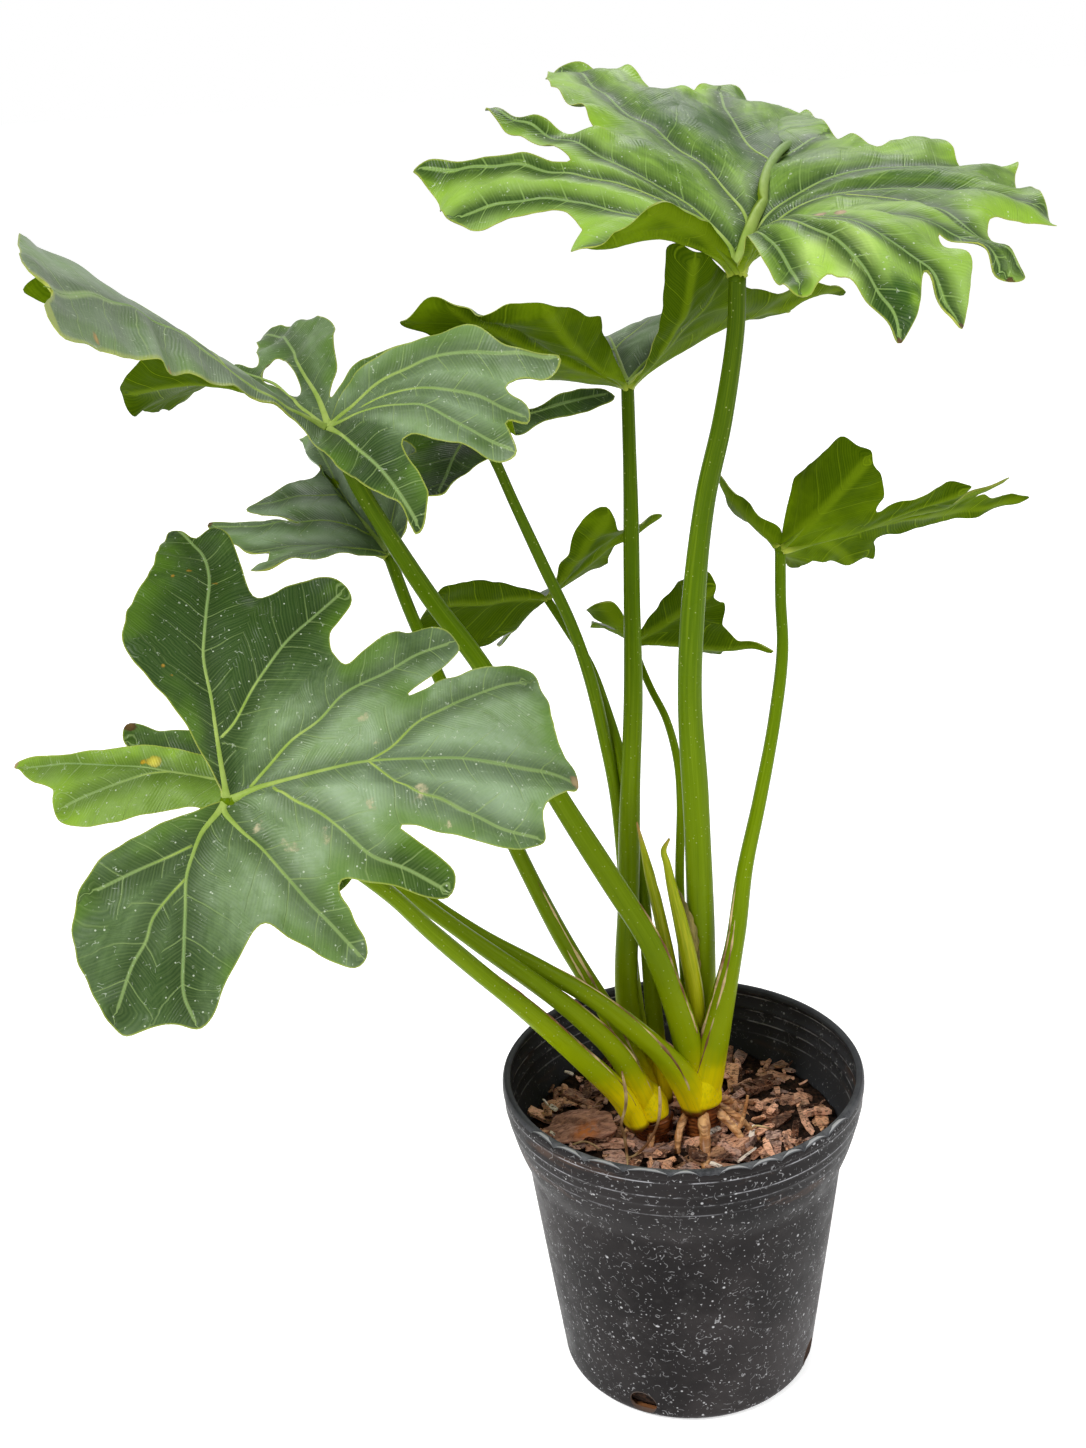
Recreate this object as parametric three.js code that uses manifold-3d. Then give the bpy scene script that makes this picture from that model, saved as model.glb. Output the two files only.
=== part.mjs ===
// Potted tree philodendron: a black nursery pot filled with bark mix, two short crowns of stem
// with roots, and eleven deeply lobed leaves on long stalks. Millimetres, +Z up, and the origin
// is the middle of the pot's underside. The front of the plant faces -Y.
import * as THREE from "three";
import { mergeVertices } from "three/addons/utils/BufferGeometryUtils.js";
import Module from "manifold-3d";

const wasm = await Module();
wasm.setup();

// Driving dimensions
const potHeight = 235;
const rimRadius = 127.5;
const wall = 1.8;
const floorThickness = 3;
const baseRadius = 92.5;
const heelRadius = 8.5;
const drainHoles = 4;
const drainHoleRadius = 10;
const drainHoleHeight = 13.5;
const drainHoleBearing = -115.5;
const barkHeight = 184;
const barkChips = 46;
const bladeThickness = 1.1;
const ribHeight = 2.2;
const gap = 0.35;

// The pot's outside above the straight wall: a flared collar, two ring steps, then the rolled lip.
// Rows are [radius, z].
const potOutside = [
  [111.4, 160], [112.1, 168], [113.6, 172], [118.2, 184], [122.2, 197], [124.4, 206],
  [125.9, 213], [126.5, 216], [126.6, 224], [127.3, 227], [rimRadius, 231], [126.6, potHeight],
];

// Each leaf: the point where its stalk meets the blade, the heading, pitch and roll of its midrib
// in degrees, and fold, which closes the two front halves towards each other. A heading of 0 is +X
// and 90 is +Y. rise is the slope of the blade at the stalk and bend is how far it curls down
// towards the edge, in degrees, both at the bearings 180, 120, 60, 0, -60, -120 and -180 from the
// midrib, the left side positive. outline lists the edge as bearing and reach pairs, in degrees
// and millimetres, from the left rear lobe round the tip to the right rear lobe: lobe tips,
// shoulders and the cuts between them. ribs are the bearings of the main veins.
const leaves = [
  {
    name: "01", at: [43, -25, 785], pose: [76, 6, 7], fold: -20, size: 270,
    rise: [71, 37, 21, 24, 21, 55, 42], bend: [112, 150, 34, 26, 59, 177, 185],
    outline: [
      [149, 51], [148, 98], [143, 106], [132, 106], [123, 115], [109, 103], [99, 116], [98, 144],
      [97, 167], [93, 185], [84, 210], [82, 219], [81, 213], [80, 172], [76, 126], [72, 175],
      [68, 205], [66, 172], [61, 148], [57, 135], [53, 179], [50, 218], [40, 273], [34, 262],
      [26, 214], [18, 249], [8, 244], [0, 254], [-8, 229], [-17, 190], [-25, 171], [-29, 169],
      [-30, 225], [-41, 208], [-42, 237], [-57, 203], [-73, 200], [-75, 189], [-78, 160],
      [-83, 153], [-93, 169], [-94, 184], [-98, 180], [-100, 155], [-101, 130], [-107, 155],
      [-112, 169], [-118, 182], [-119, 160], [-120, 145], [-129, 161], [-135, 170], [-137, 156],
      [-142, 122], [-144, 110], [-152, 120], [-156, 119], [-161, 82], [-162, 40],
    ],
    ribs: [127, 88, 69, 44, 17, 0, -13, -46, -68, -94, -115, -134, -154],
  },
  {
    name: "02", at: [-18, 75, 705], pose: [98, 29, -11], fold: -6, size: 210,
    rise: [57, 48, -5, 2, 9, 45, 44], bend: [-97, -4, -5, 88, 66, -22, -102],
    outline: [
      [157, 49], [156, 67], [155, 82], [154, 96], [149, 103], [144, 123], [138, 144], [131, 162],
      [121, 163], [113, 172], [104, 176], [100, 173], [99, 149], [91, 105], [78, 96], [63, 130],
      [48, 110], [32, 158], [18, 136], [0, 196], [-18, 138], [-31, 165], [-46, 124], [-58, 162],
      [-68, 102], [-78, 130], [-79, 163], [-88, 129], [-95, 109], [-118, 126], [-138, 156],
      [-145, 159], [-148, 153], [-149, 137], [-150, 105], [-151, 85], [-152, 52],
    ],
    ribs: [138, 112, 63, 32, 0, -31, -58, -80, -118, -140],
  },
  {
    name: "03", at: [-205, -20, 705], pose: [200, 2, -8], fold: 47, size: 240,
    rise: [77, 45, 31, 50, 48, 52, 33], bend: [83, 89, 66, 11, 69, 60, 52],
    outline: [
      [167, 22], [151, 82], [150, 114], [144, 134], [143, 164], [139, 157], [136, 131],
      [132, 149], [129, 151], [127, 139], [122, 154], [118, 146], [115, 116], [106, 92],
      [101, 133], [95, 149], [94, 119], [89, 102], [80, 66], [62, 34], [22, 31], [8, 90],
      [7, 110], [6, 145], [5, 183], [4, 230], [3, 237], [2, 225], [1, 241], [-11, 206],
      [-17, 215], [-18, 192], [-25, 135], [-44, 168], [-66, 196], [-74, 218], [-75, 166],
      [-76, 108], [-91, 187], [-98, 146], [-110, 100], [-114, 65], [-115, 24], [-136, 47],
      [-153, 75], [-169, 27],
    ],
    ribs: [143, 130, 121, 97, 3, -17, -48, -74, -91, -153],
  },
  {
    name: "04", at: [-179, 25, 613], pose: [110, 12, -38], fold: -20, size: 170,
    rise: [26, 58, 42, 28, 26, 38, 32], bend: [47, 51, 50, 37, 41, 43, 34],
    outline: [
      [154, 17], [129, 58], [124, 90], [119, 111], [101, 85], [85, 91], [83, 95], [63, 116],
      [57, 124], [56, 92], [54, 66], [53, 62], [52, 67], [51, 98], [49, 102], [32, 94],
      [7, 97], [4, 122], [-2, 153], [-11, 134], [-21, 94], [-33, 128], [-47, 120], [-62, 78],
      [-82, 89], [-124, 49], [-134, 42], [-148, 36], [-157, 11],
    ],
    ribs: [120, 84, 58, 48, 0, -38, -82, -134],
  },
  {
    name: "05", at: [-268, -150, 521], pose: [16, -18, 40], fold: 7, size: 200,
    rise: [36, 38, 40, 37, 12, -1, -1], bend: [93, 77, 43, 38, 44, 33, 23],
    outline: [
      [134, 25], [133, 72], [132, 109], [124, 129], [111, 159], [102, 205], [99, 188], [95, 197],
      [92, 168], [88, 133], [72, 152], [63, 148], [62, 115], [53, 108], [50, 131], [44, 164],
      [36, 171], [31, 124], [30, 170], [26, 206], [22, 206], [12, 201], [2, 209], [-3, 185],
      [-8, 188], [-11, 173], [-12, 131], [-13, 102], [-20, 139], [-25, 141], [-30, 108],
      [-38, 82], [-46, 122], [-50, 124], [-65, 92], [-74, 80], [-86, 106], [-92, 135],
      [-101, 136], [-108, 148], [-117, 138], [-132, 119], [-143, 95], [-149, 62], [-150, 20],
    ],
    ribs: [103, 68, 41, 11, -22, -48, -100],
  },
  {
    name: "06", at: [-246, -60, 484], pose: [174, 13, -43], fold: -6, size: 176,
    rise: [18, 15, 8, 10, 12, 18, 19], bend: [41, 51, 51, 43, 39, 42, 38],
    outline: [
      [170, 16], [150, 62], [120, 78], [95, 52], [76, 82], [52, 76], [28, 54], [22, 71],
      [21, 98], [20, 127], [16, 149], [10, 155], [7, 156], [3, 181], [-1, 202], [-2, 191],
      [-3, 146], [-10, 99], [-21, 56], [-48, 81], [-74, 89], [-95, 52], [-120, 78],
      [-150, 62], [-170, 16],
    ],
    ribs: [130, 68, 12, 0, -64, -130],
  },
  {
    name: "07", at: [-249, 15, 471], pose: [173, 0, -39], fold: 3, size: 125,
    rise: [20, 15, 6, 1, 5, 15, 20], bend: [43, 34, 12, -5, 8, 31, 42],
    outline: [
      [170, 13], [145, 52], [115, 63], [90, 42], [65, 63], [40, 63], [22, 73], [6, 94],
      [-3, 105], [-9, 124], [-15, 127], [-17, 119], [-18, 98], [-26, 79], [-39, 63],
      [-65, 63], [-90, 42], [-115, 63], [-145, 52], [-170, 13],
    ],
    ribs: [125, 58, -9, -60, -125],
  },
  {
    name: "08", at: [-78, 95, 557], pose: [106, -14, -29], fold: 13, size: 130,
    rise: [49, 35, -1, 2, 5, 17, 29], bend: [-11, 10, 17, 29, 29, 20, -57],
    outline: [
      [148, 10], [141, 36], [140, 56], [139, 75], [136, 99], [133, 111], [120, 110], [109, 101],
      [97, 87], [89, 68], [75, 49], [68, 35], [61, 49], [46, 61], [36, 53], [19, 81], [0, 97],
      [-20, 83], [-38, 57], [-56, 72], [-77, 60], [-95, 72], [-96, 89], [-98, 102], [-107, 93],
      [-118, 85], [-132, 80], [-139, 90], [-144, 98], [-148, 88], [-150, 80], [-151, 50],
      [-152, 25],
    ],
    ribs: [124, 50, 19, 0, -56, -100, -142],
  },
  {
    name: "09", at: [-117, 20, 695], pose: [182, 14, -23], fold: 5, size: 150,
    rise: [26, 19, 7, 9, 14, 5, -5], bend: [54, 44, 41, 24, -4, -20, -8],
    outline: [
      [170, 15], [150, 25], [130, 31], [100, 47], [82, 64], [78, 76], [71, 80], [59, 68],
      [47, 60], [46, 50], [30, 58], [15, 74], [0, 84], [-16, 74], [-37, 54], [-64, 68],
      [-99, 42], [-140, 42], [-141, 70], [-145, 100], [-149, 104], [-153, 83], [-154, 51],
      [-178, 26],
    ],
    ribs: [76, 20, 0, -64, -147],
  },
  {
    name: "10", at: [80, 60, 593], pose: [-8, -26, -32], fold: 10, size: 180,
    rise: [74, 25, 20, 37, 40, 66, 97], bend: [0, -7, 22, -9, -3, 26, 42],
    outline: [
      [172, 11], [142, 29], [138, 41], [137, 54], [134, 67], [133, 94], [129, 93], [120, 78],
      [112, 58], [92, 53], [75, 71], [59, 49], [45, 38], [38, 54], [37, 69], [31, 76],
      [30, 91], [14, 76], [13, 97], [12, 126], [11, 153], [10, 178], [9, 203], [3, 156],
      [2, 144], [-5, 161], [-6, 127], [-10, 114], [-20, 130], [-30, 113], [-31, 86], [-33, 69],
      [-45, 79], [-56, 87], [-68, 93], [-74, 99], [-80, 94], [-88, 93], [-91, 87], [-99, 69],
      [-108, 59], [-128, 46], [-131, 34], [-150, 23],
    ],
    ribs: [131, 75, 34, 9, -5, -20, -72],
  },
  {
    name: "11", at: [-17, 115, 514], pose: [69, -13, 17], fold: 4, size: 130,
    rise: [60, 24, 8, 9, 15, 39, 58], bend: [24, 60, 50, 38, 16, 1, -17],
    outline: [
      [154, 24], [153, 45], [150, 51], [144, 55], [130, 46], [121, 31], [104, 18], [72, 42],
      [46, 63], [30, 49], [10, 84], [-10, 59], [-24, 86], [-44, 54], [-62, 64], [-77, 69],
      [-83, 102], [-86, 85], [-88, 77], [-101, 73], [-116, 86], [-127, 89], [-133, 100],
      [-139, 103], [-146, 81], [-147, 63], [-148, 40], [-149, 15],
    ],
    ribs: [148, 46, 10, -24, -83, -132],
  },
];

// Each stalk: its route from the crown up to the blade, and [share of the length, radius] rows for
// how it tapers from the wide clasping base. They are listed as they wrap the crowns, the outer
// ones first, and the inner ones fit round those.
const stalks = [
  {
    leaf: "10",
    route: [
      [13, -7, 211], [17, -7, 232], [27, -2, 275], [40, 6, 330], [48, 14, 379], [60, 24, 427],
      [72, 36, 480], [79, 46, 526], [79, 54, 559], [80, 60, 593],
    ],
    taper: [[0, 12.5], [0.06, 12.5], [0.16, 9.5], [0.3, 6.6], [0.55, 4.8], [1, 3.6]],
  },
  {
    leaf: "07",
    route: [
      [9, -12, 209], [1, -16, 232], [-14, -19, 257], [-38, -19, 283], [-63, -19, 306],
      [-96, -21, 331], [-135, -22, 359], [-173, -18, 389], [-211, -8, 424],
      [-236, 6, 455], [-249, 15, 471],
    ],
    taper: [[0, 10.5], [0.08, 10.5], [0.16, 8], [0.3, 6.6], [0.6, 5], [1, 3.4]],
  },
  {
    leaf: "05",
    route: [
      [-33, -22, 203], [-46, -27, 232], [-72, -36, 269], [-104, -49, 313], [-135, -63, 353],
      [-164, -79, 394], [-186, -93, 428], [-222, -119, 475], [-252, -140, 508],
      [-268, -150, 521],
    ],
    taper: [[0, 8.6], [0.15, 8], [0.4, 6.2], [0.7, 5], [1, 4]],
  },
  {
    leaf: "06",
    route: [
      [-24, -11, 204], [-30, -16, 226], [-46, -22, 262], [-71, -28, 296], [-103, -36, 331],
      [-141, -42, 368], [-180, -50, 409], [-212, -56, 446], [-234, -59, 472], [-246, -60, 484],
    ],
    taper: [[0, 10], [0.1, 8.8], [0.3, 6.8], [0.6, 5.2], [1, 3.8]],
  },
  {
    leaf: "03",
    route: [
      [10, 0, 214], [5, -6, 252], [-4, -8, 291], [-20, -8, 339], [-44, -7, 385], [-76, -6, 446],
      [-100, -4, 495], [-123, -6, 545], [-151, -9, 591], [-173, -13, 633], [-189, -16, 666],
      [-199, -19, 692], [-205, -20, 705],
    ],
    taper: [[0, 11], [0.08, 10.5], [0.16, 8.6], [0.4, 7.6], [0.7, 6.2], [1, 4.8]],
  },
  {
    leaf: "04",
    route: [
      [-20, 0, 203], [-34, 0, 244], [-56, 3, 291], [-79, 8, 336], [-106, 14, 400],
      [-128, 18, 462], [-149, 21, 520], [-168, 24, 575], [-179, 25, 613],
    ],
    taper: [[0, 8.5], [0.1, 8], [0.25, 6.4], [0.6, 5], [1, 3.9]],
  },
  {
    leaf: "01",
    route: [
      [18, 15, 206], [18, 20, 250], [18, 21, 281], [17, 18, 360], [15, 12, 437], [12, 5, 510],
      [15, -4, 580], [23, -10, 647], [34, -15, 697], [42, -21, 752], [43, -25, 785],
    ],
    taper: [[0, 9.7], [0.3, 9.4], [0.6, 7.8], [0.85, 6], [1, 5.2]],
  },
  {
    leaf: "02",
    route: [
      [-26, 6, 202], [-31, 16, 250], [-36, 22, 279], [-32, 30, 353], [-28, 38, 426],
      [-23, 46, 496], [-21, 55, 564], [-19, 64, 631], [-18, 75, 705],
    ],
    taper: [[0, 8.5], [0.3, 7.8], [0.6, 6.4], [0.85, 5], [1, 4.2]],
  },
  {
    leaf: "08",
    route: [
      [-13, 8, 201], [-16, 20, 245], [-19, 31, 305], [-22, 40, 364], [-27, 47, 408],
      [-33, 55, 454], [-41, 63, 485], [-51, 74, 514], [-64, 85, 535], [-78, 95, 557],
    ],
    taper: [[0, 7], [0.2, 6], [0.4, 4.6], [0.7, 3.6], [1, 2.8]],
  },
  {
    leaf: "09",
    route: [
      [-18, 14, 201], [-27, 32, 244], [-32, 42, 303], [-33, 50, 365], [-36, 54, 418],
      [-43, 52, 466], [-52, 46, 515], [-63, 40, 555], [-80, 32, 600], [-96, 25, 643],
      [-107, 22, 673], [-117, 20, 695],
    ],
    taper: [[0, 6.5], [0.2, 5.6], [0.5, 4.6], [1, 3.2]],
  },
  {
    leaf: "11",
    route: [
      [10, 16, 206], [7, 27, 274], [5, 38, 356], [8, 50, 419], [7, 58, 446], [1, 70, 472],
      [-8, 82, 490], [-14, 99, 503], [-17, 115, 514],
    ],
    taper: [[0, 5.5], [0.2, 4], [0.6, 3], [1, 2.4]],
  },
];

// New leaves still rolled into spears, the papery sheath beside them, and the dried fibres that
// hang from the old sheaths to the bark.
const spears = [
  {
    name: "leaf_spear_hooked", colour: 0xa8b33a,
    route: [
      [10, 8, 224], [12, 6, 252], [11, 5, 290], [4, 5, 336], [-3, 5, 374], [-6, 5, 392],
      [-8, 4, 402], [-4, 3, 411],
    ],
    taper: [[0, 6.6], [0.5, 6], [0.8, 3.6], [0.95, 2], [1, 1]],
  },
  {
    name: "leaf_spear_straight", colour: 0x9bae3c,
    route: [[2, 12, 226], [1, 11, 260], [-4, 11, 300], [-10, 12, 338], [-17, 12, 378], [-25, 13, 420]],
    taper: [[0, 5.6], [0.5, 4.6], [0.8, 3.6], [1, 0.9]],
  },
];
const sheath = {
  name: "papery_sheath", colour: 0x8d7a45,
  route: [[13, 10, 300], [12, 10, 315], [10, 9, 332], [6, 9, 352], [1, 9, 370]],
  taper: [[0, 2.4], [0.4, 4.6], [0.8, 3.2], [1, 1]], flatness: 0.42,
};
const fibres = [
  {
    name: "dry_fibre_long", colour: 0x9a6b48,
    route: [[-44, -34, 224], [-43, -38, 212], [-43, -38, 203], [-45, -40, 196], [-44, -48, 186]],
    taper: [[0, 1.1], [1, 0.9]],
  },
  {
    name: "dry_fibre_short", colour: 0x9a6b48,
    route: [[-17, -23, 214], [-18, -29, 209], [-20, -31, 203], [-27, -34, 195], [-38, -38, 184]],
    taper: [[0, 1.1], [1, 0.9]],
  },
];

// The two crowns: short upright stems that stand in the bark, with roots that reach into it.
// Root rows are a route and a radius at its start and end.
const crowns = [
  {
    name: "crown_right", centre: [14, -1], top: 213, radius: 14, colour: 0x8a5a33,
    roots: [
      { route: [[13, -10, 204], [13, -20, 204], [12, -36, 196], [11, -52, 184]], radii: [4.6, 3.4] },
      { route: [[20, -6, 204], [27, -14, 201], [36, -24, 194], [42, -30, 183]], radii: [3.6, 2.4] },
      { route: [[20, -2, 204], [30, -7, 202], [42, -14, 195], [52, -20, 184]], radii: [3, 2] },
      { route: [[34, -22, 195], [38, -21, 196], [42, -18, 206], [45, -14, 217]], radii: [1.8, 0.9] },
      { route: [[8, -6, 204], [0, -14, 202], [-5, -24, 196], [-7, -32, 184]], radii: [3.4, 2.2] },
      { route: [[20, 4, 203], [32, 10, 199], [42, 18, 183]], radii: [3, 2] },
    ],
  },
  {
    name: "crown_left", centre: [-22, -4], top: 202, radius: 13, colour: 0x8a5a33,
    roots: [
      { route: [[-22, -8, 194], [-24, -18, 194], [-26, -28, 183]], radii: [3.4, 2.2] },
      { route: [[-28, -4, 194], [-38, -8, 192], [-46, -12, 183]], radii: [3, 2] },
      { route: [[-24, 2, 194], [-30, 12, 192], [-36, 20, 183]], radii: [3, 2] },
    ],
  },
];

const colours = {
  pot: 0x1d1f21, bark: 0x5f4335, bladeTop: 0x4f7445, stalk: 0x6f9433,
};

// Seeded random numbers from 0 to 1, so that the bark always falls the same way.
let seed = 20417;
function random() {
  seed = (seed * 1664525 + 1013904223) % 4294967296;
  return seed / 4294967296;
}

function radians(degrees) {
  return degrees * Math.PI / 180;
}

// Solids: a closed triangle mesh becomes a manifold for joining and cutting, and comes back.
function solidFromArrays(points, triangles) {
  const vertProperties = new Float32Array(points.flat());
  const triVerts = new Uint32Array(triangles.flat());
  return new wasm.Manifold(new wasm.Mesh({ numProp: 3, vertProperties, triVerts }));
}

function solidFromGeometry(geometry) {
  const bare = geometry.clone();
  bare.deleteAttribute("normal");
  bare.deleteAttribute("uv");
  const merged = mergeVertices(bare, 1e-4);
  const index = merged.index.array;
  const kept = [];
  for (let i = 0; i < index.length; i += 3) {
    const [a, b, c] = [index[i], index[i + 1], index[i + 2]];
    if (a !== b && b !== c && a !== c) kept.push(a, b, c);
  }
  const vertProperties = new Float32Array(merged.attributes.position.array);
  return new wasm.Manifold(new wasm.Mesh({
    numProp: 3, vertProperties, triVerts: new Uint32Array(kept),
  }));
}

function geometryFromSolid(solid) {
  const mesh = solid.getMesh();
  const geometry = new THREE.BufferGeometry();
  const positions = new Float32Array(mesh.numVert * 3);
  for (let i = 0; i < mesh.numVert; i++) {
    for (let k = 0; k < 3; k++) positions[3 * i + k] = mesh.vertProperties[mesh.numProp * i + k];
  }
  geometry.setAttribute("position", new THREE.BufferAttribute(positions, 3));
  geometry.setIndex(new THREE.BufferAttribute(new Uint32Array(mesh.triVerts), 1));
  geometry.computeVertexNormals();
  return geometry;
}

function largestPiece(solid) {
  const pieces = solid.decompose();
  let best = pieces[0];
  for (const piece of pieces) if (piece.volume() > best.volume()) best = piece;
  return best;
}

function namedMesh(name, solid, colour, roughness, metalness = 0) {
  const material = new THREE.MeshStandardMaterial({ color: colour, roughness, metalness });
  const mesh = new THREE.Mesh(geometryFromSolid(solid), material);
  mesh.name = name;
  return mesh;
}

// A round stem along a route, closed at both ends, whose radius follows the taper rows.
function rowValue(rows, share) {
  for (let i = 1; i < rows.length; i++) {
    if (share <= rows[i][0]) {
      const part = (share - rows[i - 1][0]) / (rows[i][0] - rows[i - 1][0]);
      return rows[i - 1][1] + part * (rows[i][1] - rows[i - 1][1]);
    }
  }
  return rows[rows.length - 1][1];
}

function stem(route, taper, { sides = 8, steps = 12, grow = 0, flatness = 1 } = {}) {
  const curve = new THREE.CatmullRomCurve3(route.map((p) => new THREE.Vector3(...p)), false, "centripetal");
  const frames = curve.computeFrenetFrames(steps, false);
  const points = [];
  const triangles = [];
  for (let i = 0; i <= steps; i++) {
    const share = i / steps;
    const middle = curve.getPointAt(share);
    if (i === 0) middle.addScaledVector(frames.tangents[0], -grow);
    if (i === steps) middle.addScaledVector(frames.tangents[steps], grow);
    const radius = rowValue(taper, share);
    for (let j = 0; j < sides; j++) {
      const turn = 2 * Math.PI * j / sides;
      const across = Math.cos(turn) * (radius + grow);
      const over = Math.sin(turn) * (radius * flatness + grow);
      const p = middle.clone().addScaledVector(frames.normals[i], across)
        .addScaledVector(frames.binormals[i], over);
      points.push([p.x, p.y, p.z]);
    }
  }
  for (let i = 0; i < steps; i++) {
    for (let j = 0; j < sides; j++) {
      const a = i * sides + j;
      const b = i * sides + (j + 1) % sides;
      triangles.push([a, b, b + sides], [a, b + sides, a + sides]);
    }
  }
  for (let j = 1; j < sides - 1; j++) {
    triangles.push([0, j + 1, j]);
    const last = steps * sides;
    triangles.push([last, last + j, last + j + 1]);
  }
  return solidFromArrays(points, triangles);
}

// The blade surface: rays fan out from the stalk, and each ray is an arc that starts at the rise
// angle and turns down by the bend angle over the leaf's size.
function tableAt(values, bearing) {
  const place = (180 - bearing) / 60;
  const i = Math.min(5, Math.max(0, Math.floor(place)));
  let part = place - i;
  part = part * part * (3 - 2 * part);
  return values[i] * (1 - part) + values[i + 1] * part;
}

function leafFrame(leaf) {
  const [heading, pitch, roll] = leaf.pose.map(radians);
  const forward = new THREE.Vector3(
    Math.cos(heading) * Math.cos(pitch), Math.sin(heading) * Math.cos(pitch), Math.sin(pitch),
  );
  const level = new THREE.Vector3(-Math.sin(heading), Math.cos(heading), 0);
  const upright = new THREE.Vector3().crossVectors(forward, level);
  const left = level.clone().multiplyScalar(Math.cos(roll)).addScaledVector(upright, Math.sin(roll));
  const up = new THREE.Vector3().crossVectors(forward, left);
  return { forward, left, up };
}

function leafPoint(leaf, frame, bearing, distance) {
  const rise = radians(tableAt(leaf.rise, bearing));
  let curl = radians(tableAt(leaf.bend, bearing)) / leaf.size;
  if (Math.abs(curl) < 1e-6) curl = 1e-6;
  const out = (Math.sin(rise) - Math.sin(rise - curl * distance)) / curl;
  const lift = (Math.cos(rise - curl * distance) - Math.cos(rise)) / curl;
  const turn = radians(bearing);
  const ahead = out * Math.cos(turn);
  const aside = out * Math.sin(turn);
  const fold = radians(leaf.fold) * (1 + Math.cos(turn)) / 2;
  const width = Math.sqrt(aside * aside + 4) - 2;
  const side = Math.sign(aside) * (width * Math.cos(fold) + lift * Math.sin(fold) * Math.min(1, width / 10));
  const height = lift * Math.cos(fold) - width * Math.sin(fold);
  return new THREE.Vector3(...leaf.at).addScaledVector(frame.forward, ahead)
    .addScaledVector(frame.left, side).addScaledVector(frame.up, height);
}

function leafNormal(leaf, frame, bearing, distance) {
  const along = leafPoint(leaf, frame, bearing, distance + 1)
    .sub(leafPoint(leaf, frame, bearing, distance - 1));
  const round = leafPoint(leaf, frame, bearing + 1, distance)
    .sub(leafPoint(leaf, frame, bearing - 1, distance));
  return along.cross(round).normalize();
}

// The edge as bearing columns: the outline's own points, with a column beside each main vein so
// that the vein stands out below the blade as a narrow ridge.
function bladeColumns(leaf) {
  const rows = leaf.outline;
  const columns = rows.map(([bearing, reach]) => ({ bearing, reach, rib: 0 }));
  const reachAt = (bearing) => {
    for (let i = 1; i < rows.length; i++) {
      if (bearing >= rows[i][0]) {
        const part = (bearing - rows[i][0]) / (rows[i - 1][0] - rows[i][0]);
        return rows[i][1] + part * (rows[i - 1][1] - rows[i][1]);
      }
    }
    return rows[rows.length - 1][1];
  };
  for (const rib of leaf.ribs) {
    const near = columns.find((column) => Math.abs(column.bearing - rib) < 0.6);
    if (near) near.rib = 1;
    else columns.push({ bearing: rib, reach: reachAt(rib), rib: 1 });
    for (const side of leaf.size > 185 ? [-2.2, 2.2] : []) {
      const bearing = rib + side;
      const free = columns.every((column) => Math.abs(column.bearing - bearing) > 1.1);
      if (free) columns.push({ bearing, reach: reachAt(bearing), rib: 0 });
    }
  }
  return columns.sort((a, b) => b.bearing - a.bearing);
}

function blade(leaf) {
  const frame = leafFrame(leaf);
  const columns = bladeColumns(leaf);
  const rings = leaf.size > 185 ? 4 : 3;
  const points = [];
  const place = (bearing, distance, offset) => {
    const normal = distance < 1 ? frame.up.clone() : leafNormal(leaf, frame, bearing, distance);
    const p = leafPoint(leaf, frame, bearing, distance).addScaledVector(normal, offset);
    points.push([p.x, p.y, p.z]);
  };
  place(0, 0, 0);
  place(0, 0, -bladeThickness - ribHeight);
  const first = points.length;
  for (const { bearing, reach, rib } of columns) {
    for (let ring = 1; ring <= rings; ring++) {
      const share = ring / rings;
      const distance = reach * share;
      const ridge = rib * ribHeight * (1 - share) ** 0.7;
      const hub = ribHeight * Math.max(0, 1 - distance / 25);
      place(bearing, distance, 0);
      place(bearing, distance, -bladeThickness - Math.max(ridge, hub));
    }
  }
  const triangles = [];
  const at = (column, ring, under) => (ring === 0 ? under : first + (column * rings + ring - 1) * 2 + under);
  const last = columns.length - 1;
  for (let c = 0; c < last; c++) {
    triangles.push([at(c, 0, 0), at(c + 1, 1, 0), at(c, 1, 0)]);
    triangles.push([at(c, 0, 1), at(c, 1, 1), at(c + 1, 1, 1)]);
    for (let r = 1; r < rings; r++) {
      triangles.push([at(c, r, 0), at(c + 1, r, 0), at(c + 1, r + 1, 0)]);
      triangles.push([at(c, r, 0), at(c + 1, r + 1, 0), at(c, r + 1, 0)]);
      triangles.push([at(c, r, 1), at(c + 1, r + 1, 1), at(c + 1, r, 1)]);
      triangles.push([at(c, r, 1), at(c, r + 1, 1), at(c + 1, r + 1, 1)]);
    }
    triangles.push([at(c, rings, 0), at(c + 1, rings, 0), at(c + 1, rings, 1)]);
    triangles.push([at(c, rings, 0), at(c + 1, rings, 1), at(c, rings, 1)]);
  }
  for (let r = 0; r < rings; r++) {
    triangles.push([at(0, r, 0), at(0, r + 1, 0), at(0, r + 1, 1)]);
    triangles.push([at(0, r, 0), at(0, r + 1, 1), at(0, r, 1)]);
    triangles.push([at(last, r, 0), at(last, r + 1, 1), at(last, r + 1, 0)]);
    triangles.push([at(last, r, 0), at(last, r, 1), at(last, r + 1, 1)]);
  }
  return solidFromArrays(points, triangles);
}

// A block over the blade's hub, which cuts its stalk off just under the blade.
function hubBlock(leaf) {
  const { forward, left, up } = leafFrame(leaf);
  const block = new THREE.BoxGeometry(60, 60, 30);
  block.translate(0, 0, 15 - bladeThickness - ribHeight - 1.6 * gap);
  block.applyMatrix4(new THREE.Matrix4().makeBasis(forward, left, up));
  block.translate(...leaf.at);
  return solidFromGeometry(block);
}

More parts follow.
